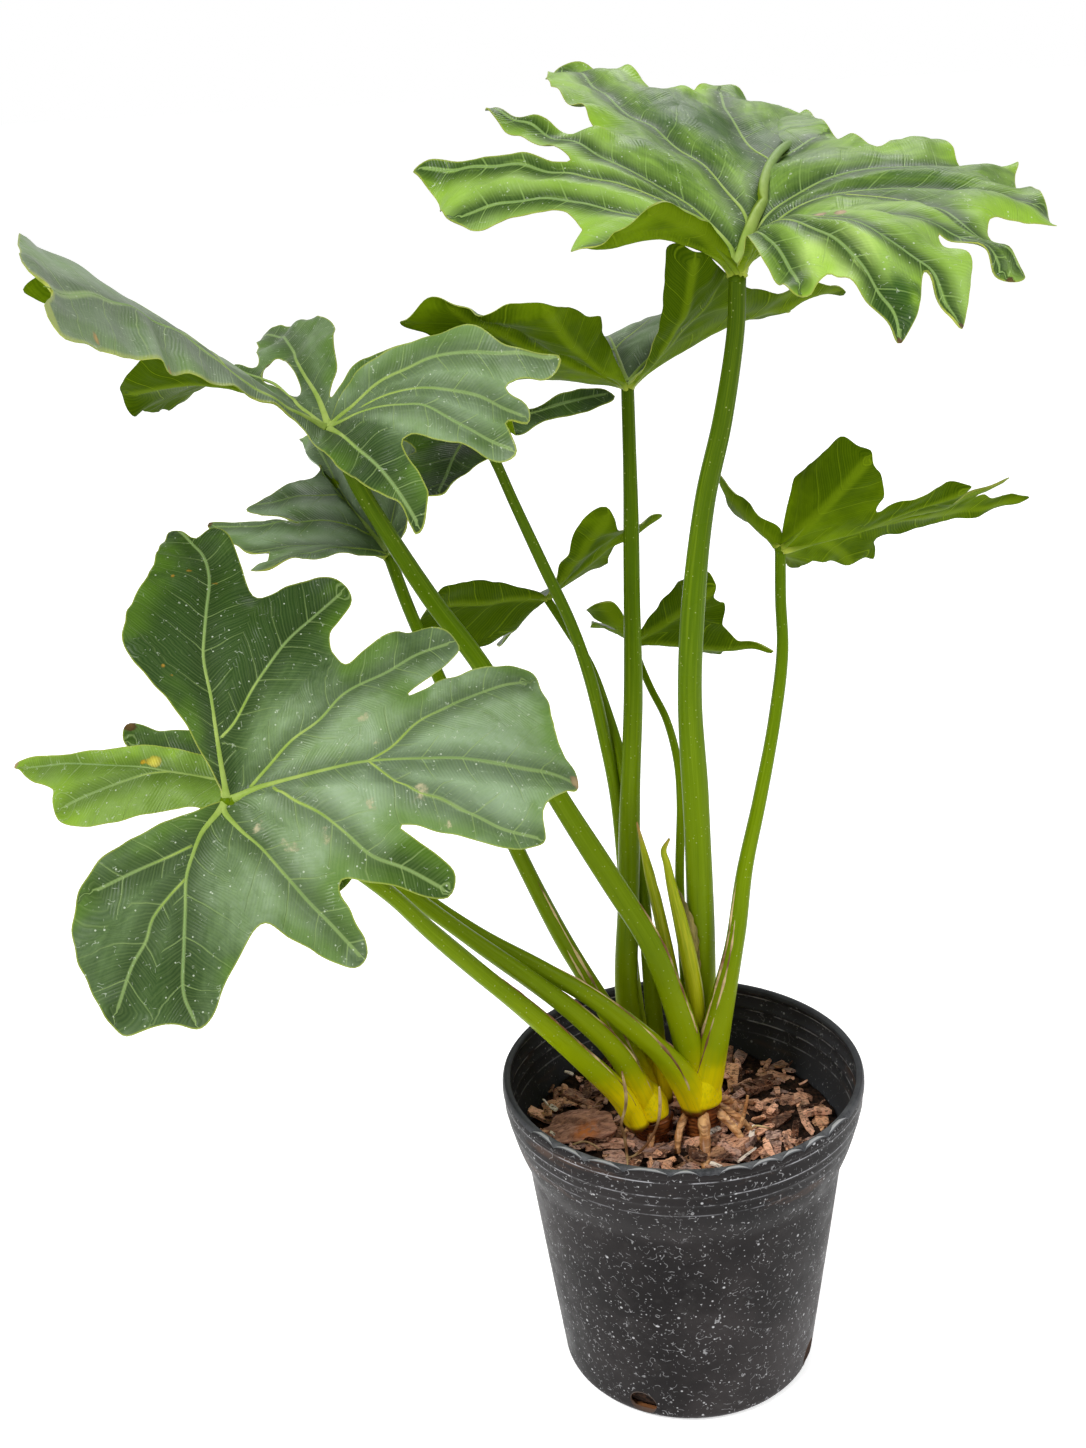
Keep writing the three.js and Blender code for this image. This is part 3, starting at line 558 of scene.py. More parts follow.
from_axis = node("VectorMath", {0: where, 1: (1, 1, 0)}, operation="MULTIPLY").outputs[0]
from_axis = node("VectorMath", {0: from_axis}, operation="LENGTH").outputs["Value"]
front = span(axis(where, 1), -0.1, -0.04, 1, 0.16)
on_lip = times(span(height, 0.2305, 0.2318), span(from_axis, 0.1276, 0.1278, 1, 0))
worn = tint(times(span(noise(where, 90, 4, 0.7), 0.3, 0.6), front),
            (0.03, 0.031, 0.034), (0.1, 0.103, 0.108))
colour = tint(on_lip, colour, worn)
colour = tint(times(attribute("crest"), 0.75), colour, (0.45, 0.45, 0.46))
# Painted highlights: thin light lines along the edges of the ring steps.
for level, share in ((0.2264, 0.95), (0.2147, 0.9), (0.2066, 0.6), (0.1975, 0.35)):
    line = calc("ABSOLUTE", calc("SUBTRACT", height, level))
    line = times(span(line, 0.0002, 0.0008, share, 0), span(grain, 0.4, 0.6))
    colour = tint(line, colour, (0.34, 0.34, 0.36))
rusty_low = times(attribute("inner"), span(height, 0.03, 0.045, 0.85, 0))
colour = tint(rusty_low, colour, (0.42, 0.17, 0.06))
colour = tint(span(attribute("rim"), 0.97, 0.995, 0, 0.8), colour, (0.13, 0.1, 0.085))
colour_with(colour, span(grain, 0.3, 0.7, 0.32, 0.5))
bump(plus(grain, times(marks, 0.6)), 0.25, 0.3)
for piece in (pot, flash):
    dress(piece, plastic)
keep(join([pot, flash], "pot_shell"), "pot_plastic", "pot")

# %% [markdown]
# ## The bark mix
# Orchid bark is split and broken: flat angular chips from a few millimetres to three centimetres,
# tipped at every angle, with dark gaps between. A noise texture on a flat disc would look painted.
# So a bumpy bed fills the pot, near black as fine bark and as painted shade in the gaps, and eight
# chip shapes are copied some hundreds of times on it.
# They lie in layers: for each the table says how many chips, the largest and the smallest, how high
# they lie in millimetres, and by how many degrees they tip.

# %% Make the bed
bed_profile = [[1, 4], [60, 4], [83, 4], [89, 12], [108.6, 160], [109.8, 168], [112.4, 178], [112.2, 181]]
bed_profile += [[112.2 * (1 - k / 40), 183] for k in range(1, 40)] + [[0.8, 183]]
bed = turned("bark_bed", bed_profile, 120)
close_up(bed, merge=0.0001)
points = read_points(bed) * 1000
top = points[:, 2] > 180
out = np.hypot(points[:, 0], points[:, 1])
lumps = 1.7 * ripple(points[:, :2], 16, 3) + 1.3 * ripple(points[:, :2], 7, 4)
points[:, 2] += np.where(top, lumps + 2.2 * (1 - out / 112), 0)
write_points(bed, points)
print("bed:", len(bed.data.polygons), "faces")

# %% Shape eight chips
def chip_shape(number):
    dice = np.random.default_rng(100 + number)
    deselect()
    bpy.ops.mesh.primitive_cube_add(size=2)
    chip = bpy.context.object
    chip.name = f"chip_{number}"
    bpy.ops.object.mode_set(mode="EDIT")
    bpy.ops.mesh.select_all(action="SELECT")
    bpy.ops.mesh.subdivide(number_cuts=3)
    bpy.ops.object.mode_set(mode="OBJECT")
    points = read_points(chip)
    length, width, thick = dice.uniform(0.95, 1.3), dice.uniform(0.34, 0.6), dice.uniform(0.1, 0.2)
    slant, pinch, bow = dice.uniform(-0.35, 0.35), dice.uniform(0.0, 0.5), dice.uniform(-0.7, 0.7)
    x, y, z = points.T.copy()
    turn, ring = np.arctan2(y, x), np.maximum(abs(x), abs(y))
    outline = (np.cos(turn) ** 8 + np.sin(turn) ** 8) ** -0.125
    outline *= 1 + 0.05 * np.sin(3 * turn + number) + 0.03 * np.sin(5 * turn + 2.3 * number)
    x, y = ring * outline * np.cos(turn), ring * outline * np.sin(turn)
    points[:, 1] = width * y * (1 - pinch * (x + 1) / 2)
    points[:, 0] = length * x + slant * points[:, 1]
    points[:, 2] = thick * (z * (1 - 0.1 * ring**6) + bow * x * x + 0.3 * ripple(points, 0.5, 57 + number))
    write_points(chip, points * 1000)
    return chip


chips = [chip_shape(number) for number in range(8)]
print("chip shapes:", [len(chip.data.polygons) for chip in chips])

# %% Strew the chips
dice = np.random.default_rng(5)
strewn = []
golden_turn = 2.39996
layers = [(80, 16, 9, 182.6, 18), (110, 13.5, 6, 186.2, 30), (230, 6.5, 2.6, 188.4, 50)]
for count, big, small, level, tip in layers:
    for number in range(count):
        size = small + (big - small) * dice.random() ** 1.6
        out = (111.5 - 0.85 * size) * math.sqrt((number + 0.5) / count)
        turn = golden_turn * number + dice.uniform(-0.5, 0.5)
        source = chips[int(dice.integers(8))]
        chip = source.copy()
        chip.data = source.data.copy()
        bpy.context.scene.collection.objects.link(chip)
        rise = level + dice.uniform(-1.5, 2.0) + 2.4 * (1 - out / 112)
        chip.location = (out * math.cos(turn) * 0.001, out * math.sin(turn) * 0.001, rise * 0.001)
        chip.scale = [size * 0.001 * s for s in (1, dice.uniform(0.75, 1.2), dice.uniform(0.8, 1.5))]
        tipped, leaned = (math.radians(dice.uniform(-tip, tip)) for _ in range(2))
        chip.rotation_euler = (tipped, leaned, dice.uniform(0, 6.28))
        tone = [dice.random(), dice.random() * 0.95, dice.random(), 1.0]
        if big < 8 and number % 13 == 0:
            tone[1] = 1.0
        note_shade(chip.data, tone)
        strewn.append(chip)
for chip in chips:
    bpy.data.objects.remove(chip)
bark_chips = join(strewn, "bark_chips")
bpy.ops.object.transform_apply(location=True, rotation=True, scale=True)
bpy.ops.object.shade_smooth_by_angle(angle=math.radians(26))
print("chips strewn:", len(strewn))

# %% [markdown]
# In front on the left lies one broad, thin flake with a rust-coloured patch. It is a disc that is
# pushed into a rough kite shape, curled a little, and given its thickness by Solidify.

# %% Lay the large flake
def kite(turn, out):
    angle = 2 * np.pi * turn
    corners = np.radians([0, 48, 100, 150, 205, 262, 318, 360])
    reach = np.interp(angle, corners, [27, 24, 19, 24, 30, 22, 17, 27]) * (1 + 0.05 * np.sin(9 * angle))
    x, y = reach * out * np.cos(angle), 0.8 * reach * out * np.sin(angle)
    flat = np.column_stack([x, y])
    z = 1.4 * ripple(flat, 22, 9) + 0.5 * ripple(flat, 6, 10) - 0.004 * x * x
    tilt, lean, way = math.radians(15), math.radians(-9), math.radians(-35)
    z, y = z * math.cos(tilt) + y * math.sin(tilt), y * math.cos(tilt) - z * math.sin(tilt)
    x, z = x * math.cos(lean) + z * math.sin(lean), z * math.cos(lean) - x * math.sin(lean)
    x, y = x * math.cos(way) - y * math.sin(way), x * math.sin(way) + y * math.cos(way)
    return np.column_stack([x - 73, y - 8, z + 196])


flake = wrapped_grid("large_flake", 72, 16, kite)
close_up(flake, merge=0.00005)
apply_modifier(flake, "SOLIDIFY", thickness=0.0016, offset=0)
select_only(flake)
bpy.ops.object.shade_smooth_by_angle(angle=math.radians(35))
print("flake:", len(flake.data.polygons), "faces")

# %% [markdown]
# Each chip carries its own shade as an attribute: from near black through red brown to dry tan.
# Fine stripes of grain run along it, and a little bump breaks up the light on its faces.

# %% Finish the bark
bark = new_finish("broken_bark", 0.75, 0.14)
where = object_place()
shades = node("SeparateColor", {0: attribute("shade", "Color")})
fibre = noise(stretch(where, (260, 900, 500), (0.3, 0.2, 0.7)), 1, 4, 0.6, 0.6)
blotch = noise(where, 110, 4, 0.6)
colour = tint(span(shades.outputs[0], 0.05, 0.95), (0.05, 0.022, 0.014), (0.92, 0.5, 0.32))
colour = tint(span(shades.outputs[1], 0.76, 0.9, 0, 0.8), colour, (0.85, 0.46, 0.24))
colour = tint(span(shades.outputs[2], 0.66, 0.9, 0, 0.75), colour, (0.42, 0.28, 0.24))
colour = tint(span(blotch, 0.45, 0.7, 0, 0.4), colour, (0.7, 0.28, 0.14))
colour = tint(span(noise(where, 210, 3, 0.6), 0.5, 0.66, 0, 0.5), colour, (0.05, 0.02, 0.012))
colour = tint(span(shades.outputs[1], 0.96, 0.98, 0, 0.9), colour, (0.85, 0.78, 0.68))
colour = tint(span(fibre, 0.56, 0.72, 0, 0.6), colour, (0.9, 0.62, 0.44))
colour = tint(span(fibre, 0.36, 0.49, 0.9, 0), colour, (0.022, 0.009, 0.006))
colour_with(colour, span(blotch, 0.3, 0.7, 0.65, 0.95))
bump(plus(fibre, blotch), 0.7, 0.9)
dress(bark_chips, bark)

# The bed is near black: partly the colour of fine bark, partly painted shade in the gaps between chips.
bark_fines_and_gap_shade = new_finish("dark_bark_fines_and_gap_shade", 0.95, 0.15)
where = object_place()
crumb = noise(where, 300, 5, 0.7)
colour = tint(span(crumb, 0.35, 0.7), (0.004, 0.0025, 0.002), (0.05, 0.024, 0.014))
colour_with(colour)
bump(crumb, 0.8, 1.5)
dress(bed, bark_fines_and_gap_shade)

rusty = new_finish("rust_spotted_flake", 0.75, 0.3)
where = object_place()
vein = noise(stretch(where, (90, 340, 300), (0, 0, 0.9)), 1, 5, 0.65, 0.8)
colour = tint(span(vein, 0.3, 0.7), (0.15, 0.068, 0.045), (0.58, 0.29, 0.19))
rust_middle = (-0.071, -0.016, 0.199)
from_patch = node("VectorMath", {0: where, 1: rust_middle}, operation="DISTANCE").outputs["Value"]
patch = times(span(from_patch, 0.004, 0.015, 1, 0), span(noise(where, 170, 4, 0.65), 0.36, 0.58))
colour = tint(patch, colour, (0.5, 0.15, 0.03))
colour_with(colour)
bump(vein, 0.6, 0.8)
dress(flake, rusty)
keep(bark_chips, "bark", "bark_mix")
keep(bed, "bark")
keep(flake, "bark")

# %% [markdown]
# ## The crowns and their roots
# Each crown is a short upright stem that is ringed with the scars of old leaves, and thick tan
# roots grow out of it into the bark. The stem is turned ring by ring, and the roots are tubes.

# %% Turn the crowns and grow their roots
crowns = [
    {
        "name": "crown_right", "middle": (12, -5), "radius": 14.2, "top": 213,
        "roots": [
            ([[13, -10, 204], [13, -20, 204], [12, -36, 196], [11, -52, 184]], (4.6, 3.4)),
            ([[20, -6, 204], [27, -14, 201], [36, -24, 194], [42, -30, 183]], (3.6, 2.4)),
            ([[20, -2, 204], [30, -7, 202], [42, -14, 195], [52, -20, 184]], (3, 2)),
            ([[34, -22, 195], [38, -21, 196], [42, -18, 206], [45, -14, 217]], (1.8, 0.9)),
            ([[8, -6, 204], [0, -14, 202], [-5, -24, 196], [-7, -32, 184]], (3.4, 2.2)),
            ([[20, 4, 203], [32, 10, 199], [42, 18, 183]], (3, 2)),
        ],
    },
    {
        "name": "crown_left", "middle": (-22, -8), "radius": 13.4, "top": 204,
        "roots": [
            ([[-22, -8, 194], [-24, -18, 194], [-26, -28, 183]], (3.4, 2.2)),
            ([[-28, -4, 194], [-38, -8, 192], [-46, -12, 183]], (3, 2)),
            ([[-24, 2, 194], [-30, 12, 192], [-36, 20, 183]], (3, 2)),
        ],
    },
]
for crown in crowns:
    wide, top = crown["radius"], crown["top"]
    profile = [[0.8, 160], [wide * 0.6, 160], [wide * 0.85, 180]]
    for ring in range(8):
        level = 184 + (top - 186) * ring / 8
        profile += [[wide * 0.98, level], [wide * 1.03, level + 1.1], [wide * 0.95, level + 2.2]]
    profile += [[wide * 0.98, top - 3.4], [wide * 1.1, top - 2.4], [wide * 1.08, top - 1.8]]
    profile += [[wide * 0.9, top - 1], [wide * 0.6, top], [0.8, top]]
    stub = turned(crown["name"] + "_stub", profile, 64, crown["middle"])
    close_up(stub, merge=0.0001)
    points = read_points(stub) * 1000
    points[:, 2] += 0.8 * ripple(points[:, :2], 20, 12)
    points[:, :2] += 0.35 * ripple(points, 6, 13)[:, None]
    write_points(stub, points)
    roots = []
    for number, (route, radii) in enumerate(crown["roots"]):
        knots = lambda part, angle, k=number: (
            1 + 0.08 * np.sin(part * 23 + k) + 0.05 * np.sin(3 * angle + 9 * part)
        )
        along = abs(route[-1][1] - route[0][1]) > abs(route[-1][2] - route[0][2])
        taper = [[0, radii[0]], [1, radii[1]]]
        root = tube("root", route, taper, 14, 1.4, facing=(0, 0, 1) if along else (0, -1, 0), swell=knots)
        roots.append(root)
    crown["stub"], crown["root_tubes"] = stub, roots
    print(crown["name"], "has", len(roots), "roots")

# %% Finish the crowns
def ringed_skin(name, dark, bright, ring, rough):
    finish = new_finish(name, rough, 0.4)
    where = object_place()
    rings = noise(stretch(where, (60, 60, 700)), 1, 3, 0.6)
    mottle = noise(where, 130, 4, 0.6)
    colour = tint(span(mottle, 0.36, 0.64), dark, bright)
    colour = tint(span(rings, 0.4, 0.55, 0.75, 0), colour, ring)
    colour_with(colour, span(mottle, 0.3, 0.7, rough - 0.08, rough + 0.15))
    bump(plus(rings, mottle), 0.5, 0.6)
    return finish


crown_skin = ringed_skin(
    "ringed_brown_crown", (0.09, 0.02, 0.004), (0.34, 0.1, 0.022), (0.04, 0.009, 0.003), 0.3)
root_skin = ringed_skin("tan_root_skin", (0.46, 0.2, 0.07), (0.78, 0.45, 0.2), (0.2, 0.07, 0.02), 0.4)
for crown in crowns:
    dress(crown["stub"], crown_skin)
    for root in crown["root_tubes"]:
        dress(root, root_skin)
    piece = join([crown["stub"]] + crown["root_tubes"], crown["name"] + "_ringed")
    keep(piece, "crown_stem", crown["name"])

# %% [markdown]
# ## The stalks
# A leaf stalk is a firm, glossy rod. It is wide and pale yellow where it clasps the crown, turns
# green higher up, and thins towards its blade. Each one follows the route and the taper of its
# solid, with very slight ribs along it, and it ends inside the point where its blade's veins meet.
#
# The table of the leaves comes first. "at" is the point where the veins meet, in millimetres, and
# "pose" is the heading, pitch and roll of the midrib. "rise" is the slope there and "bend" is how
# far the blade has curled over at the distance "size", both at seven bearings from 180 to -180.
# "fold" is how far the two halves fold, "tone" how light the blade is, partly its own colour and
# partly painted light and shade, "outline" its edge, as bearing and distance, and "ribs" the
# bearings of its veins. A bearing of 0 is the midrib's.

# %% Where the leaves stand
leaves = {
    "01": {
        "at": [43, -25, 785], "pose": [76, 6, 7], "fold": -20, "size": 270,
        "rise": [71, 37, 21, 24, 21, 55, 42], "bend": [112, 150, 34, 26, 59, 177, 185],
        "tone": [[-180, 0.8], [-130, 1.0], [-100, 0.9], [-60, 0.5], [0, 0.4], [50, 0.6], [75, 0.95],
                 [120, 1.0], [180, 0.6]],
        "outline": [
            [149, 51], [148, 98], [143, 106], [132, 106], [123, 115], [109, 103], [99, 116], [98, 144],
            [97, 167], [93, 185], [84, 210], [82, 219], [81, 213], [80, 172], [76, 126], [72, 175],
            [68, 205], [66, 172], [61, 148], [57, 135], [53, 179], [50, 218], [40, 273], [34, 262],
            [26, 214], [18, 249], [8, 244], [0, 254], [-8, 229], [-17, 190], [-25, 171], [-29, 169],
            [-30, 225], [-41, 208], [-42, 237], [-57, 203], [-73, 200], [-75, 189], [-78, 160],
            [-83, 153], [-93, 169], [-94, 184], [-98, 180], [-100, 155], [-101, 130], [-107, 155],
            [-112, 169], [-118, 182], [-119, 160], [-120, 145], [-129, 161], [-135, 170], [-137, 156],
            [-142, 122], [-144, 110], [-152, 120], [-156, 119], [-161, 82], [-162, 40],
        ],
    },
    "02": {
        "at": [-18, 75, 705], "pose": [98, 29, -11], "fold": -6, "size": 210,
        "rise": [57, 48, -5, 2, 9, 45, 44], "bend": [-97, -4, -5, 88, 66, -22, -102],
        "tone": [[-180, 0.2], [-60, 0.4], [0, 0.8], [60, 0.8], [180, 0.8]],
        "outline": [
            [157, 49], [156, 67], [155, 82], [154, 96], [149, 103], [144, 123], [138, 144], [131, 162],
            [121, 163], [113, 172], [104, 176], [100, 173], [99, 149], [91, 105], [78, 96], [63, 130],
            [48, 110], [32, 158], [18, 136], [0, 196], [-18, 138], [-31, 165], [-46, 124], [-58, 162],
            [-68, 102], [-78, 130], [-79, 163], [-88, 129], [-95, 109], [-118, 126], [-138, 156],
            [-145, 159], [-148, 153], [-149, 137], [-150, 105], [-151, 85], [-152, 52],
        ],
        "ribs": [138, 112, 63, 32, 0, -31, -58, -80, -118, -140],
    },
    "03": {
        "at": [-205, -20, 705], "pose": [200, 2, -8], "fold": 47, "size": 240,
        "rise": [77, 45, 31, 50, 48, 52, 33], "bend": [83, 89, 66, 11, 69, 60, 52],
        "tone": [[-180, 0.4], [-95, 0.42], [-40, 0.5], [0, 0.55], [60, 0.3], [80, 0.08], [106, 0.1],
                 [114, 0.7], [150, 0.75], [180, 0.6]],
        "outline": [
            [167, 22], [151, 82], [150, 114], [144, 134], [143, 164], [139, 157], [136, 131],
            [132, 149], [129, 151], [127, 139], [122, 154], [118, 146], [115, 116], [106, 92],
            [101, 133], [95, 149], [94, 119], [89, 102], [80, 66], [62, 34], [22, 31], [8, 90],
            [7, 110], [6, 145], [5, 183], [4, 230], [3, 237], [2, 225], [1, 241], [-11, 206],
            [-17, 215], [-18, 192], [-25, 135], [-44, 168], [-66, 196], [-74, 218], [-75, 166],
            [-76, 108], [-91, 187], [-98, 146], [-110, 100], [-114, 65], [-115, 24], [-136, 47],
            [-153, 75], [-169, 27],
        ],
    },
    "04": {
        "at": [-179, 25, 613], "pose": [110, 12, -38], "fold": -20, "size": 170,
        "rise": [26, 58, 42, 28, 26, 38, 32], "bend": [47, 51, 50, 37, 41, 43, 34],
        "tone": [[-180, 0.7], [0, 1.0], [100, 1.0], [180, 0.9]],
        "outline": [
            [154, 17], [129, 58], [124, 90], [119, 111], [101, 85], [85, 91], [83, 95], [63, 116],
            [57, 124], [56, 92], [54, 66], [53, 62], [52, 67], [51, 98], [49, 102], [32, 94],
            [7, 97], [4, 122], [-2, 153], [-11, 134], [-21, 94], [-33, 128], [-47, 120], [-62, 78],
            [-82, 89], [-124, 49], [-134, 42], [-148, 36], [-157, 11],
        ],
    },
    "05": {
        "at": [-268, -150, 521], "pose": [16, -18, 40], "fold": 7, "size": 200,
        "rise": [36, 38, 40, 37, 12, -1, -1], "bend": [93, 77, 43, 38, 44, 33, 23],
        "tone": [[-180, 0.3], [-120, 0.3], [-60, 0.45], [-32, 0.3], [-8, 0.7], [10, 0.75], [26, 0.5],
                 [60, 0.25], [88, 0.05], [180, 0.08]],
        "outline": [
            [134, 25], [133, 72], [132, 109], [124, 129], [111, 159], [102, 205], [99, 188], [95, 197],
            [92, 168], [88, 133], [72, 152], [63, 148], [62, 115], [53, 108], [50, 131], [44, 164],
            [36, 171], [31, 124], [30, 170], [26, 206], [22, 206], [12, 201], [2, 209], [-3, 185],
            [-8, 188], [-11, 173], [-12, 131], [-13, 102], [-20, 139], [-25, 141], [-30, 108],
            [-38, 82], [-46, 122], [-50, 124], [-65, 92], [-74, 80], [-86, 106], [-92, 135],
            [-101, 136], [-108, 148], [-117, 138], [-132, 119], [-143, 95], [-149, 62], [-150, 20],
        ],
    },
    "06": {
        "at": [-246, -60, 484], "pose": [174, 13, -43], "fold": -6, "size": 176,
        "rise": [18, 15, 8, 10, 12, 18, 19], "bend": [41, 51, 51, 43, 39, 42, 38],
        "tone": [[-180, 0.5], [0, 0.6], [180, 0.5]],
        "outline": [
            [170, 16], [150, 62], [120, 78], [95, 52], [76, 82], [52, 76], [28, 54], [22, 71],
            [21, 98], [20, 127], [16, 149], [10, 155], [7, 156], [3, 181], [-1, 202], [-2, 191],
            [-3, 146], [-10, 99], [-21, 56], [-48, 81], [-74, 89], [-95, 52], [-120, 78],
            [-150, 62], [-170, 16],
        ],
        "ribs": [130, 68, 12, 0, -64, -130],
    },
    "07": {
        "at": [-249, 15, 471], "pose": [173, 0, -39], "fold": 3, "size": 125,
        "rise": [20, 15, 6, 1, 5, 15, 20], "bend": [43, 34, 12, -5, 8, 31, 42],
        "tone": [[-180, 0.15], [180, 0.2]],
        "outline": [
            [170, 13], [145, 52], [115, 63], [90, 42], [65, 63], [40, 63], [22, 73], [6, 94],
            [-3, 105], [-9, 124], [-15, 127], [-17, 119], [-18, 98], [-26, 79], [-39, 63],
            [-65, 63], [-90, 42], [-115, 63], [-145, 52], [-170, 13],
        ],
        "ribs": [125, 58, -9, -60, -125],
    },
    "08": {
        "at": [-78, 95, 557], "pose": [106, -14, -29], "fold": 13, "size": 130,
        "rise": [49, 35, -1, 2, 5, 17, 29], "bend": [-11, 10, 17, 29, 29, 20, -57],
        "tone": [[-180, 0.2], [180, 0.3]],
        "outline": [
            [148, 10], [141, 36], [140, 56], [139, 75], [136, 99], [133, 111], [120, 110], [109, 101],
            [97, 87], [89, 68], [75, 49], [68, 35], [61, 49], [46, 61], [36, 53], [19, 81], [0, 97],
            [-20, 83], [-38, 57], [-56, 72], [-77, 60], [-95, 72], [-96, 89], [-98, 102], [-107, 93],
            [-118, 85], [-132, 80], [-139, 90], [-144, 98], [-148, 88], [-150, 80], [-151, 50],
            [-152, 25],
        ],
        "ribs": [124, 50, 19, 0, -56, -100, -142],
    },
    "09": {
        "at": [-117, 20, 695], "pose": [182, 14, -23], "fold": 5, "size": 150,
        "rise": [26, 19, 7, 9, 14, 5, -5], "bend": [54, 44, 41, 24, -4, -20, -8],
        "tone": [[-180, 0.4], [0, 0.2], [180, 0.3]],
        "outline": [
            [170, 15], [150, 25], [130, 31], [100, 47], [82, 64], [78, 76], [71, 80], [59, 68],
            [47, 60], [46, 50], [30, 58], [15, 74], [0, 84], [-16, 74], [-37, 54], [-64, 68],
            [-99, 42], [-140, 42], [-141, 70], [-145, 100], [-149, 104], [-153, 83], [-154, 51],
            [-178, 26],
        ],
        "ribs": [76, 20, 0, -64, -147],
    },
    "10": {
        "at": [80, 60, 593], "pose": [-8, -26, -32], "fold": 10, "size": 180,
        "rise": [74, 25, 20, 37, 40, 66, 97], "bend": [0, -7, 22, -9, -3, 26, 42],
        "tone": [[-180, 0.4], [0, 0.5], [180, 0.4]],
        "outline": [
            [172, 11], [142, 29], [138, 41], [137, 54], [134, 67], [133, 94], [129, 93], [120, 78],
            [112, 58], [92, 53], [75, 71], [59, 49], [45, 38], [38, 54], [37, 69], [31, 76],
            [30, 91], [14, 76], [13, 97], [12, 126], [11, 153], [10, 178], [9, 203], [3, 156],
            [2, 144], [-5, 161], [-6, 127], [-10, 114], [-20, 130], [-30, 113], [-31, 86], [-33, 69],
            [-45, 79], [-56, 87], [-68, 93], [-74, 99], [-80, 94], [-88, 93], [-91, 87], [-99, 69],
            [-108, 59], [-128, 46], [-131, 34], [-150, 23],
        ],
        "ribs": [131, 75, 34, 9, -5, -20, -72],
    },
    "11": {
        "at": [-17, 115, 514], "pose": [69, -13, 17], "fold": 4, "size": 130,
        "rise": [60, 24, 8, 9, 15, 39, 58], "bend": [24, 60, 50, 38, 16, 1, -17],
        "tone": [[-180, 0.3], [180, 0.3]],
        "outline": [
            [154, 24], [153, 45], [150, 51], [144, 55], [130, 46], [121, 31], [104, 18], [72, 42],
            [46, 63], [30, 49], [10, 84], [-10, 59], [-24, 86], [-44, 54], [-62, 64], [-77, 69],
            [-83, 102], [-86, 85], [-88, 77], [-101, 73], [-116, 86], [-127, 89], [-133, 100],
            [-139, 103], [-146, 81], [-147, 63], [-148, 40], [-149, 15],
        ],
        "ribs": [148, 46, 10, -24, -83, -132],
    },
}
print("leaves:", len(leaves), "points on their edges:", sum(len(leaf["outline"]) for leaf in leaves.values()))


def leaf_axes(leaf):
    heading, pitch, roll = np.radians(leaf["pose"])
    along = np.array([math.cos(heading), math.sin(heading), 0])
    ahead = along * math.cos(pitch) + np.array([0, 0, math.sin(pitch)])
    level = np.array([-math.sin(heading), math.cos(heading), 0])
    left = math.cos(roll) * level + math.sin(roll) * np.cross(ahead, level)
    return ahead, left, np.cross(ahead, left)


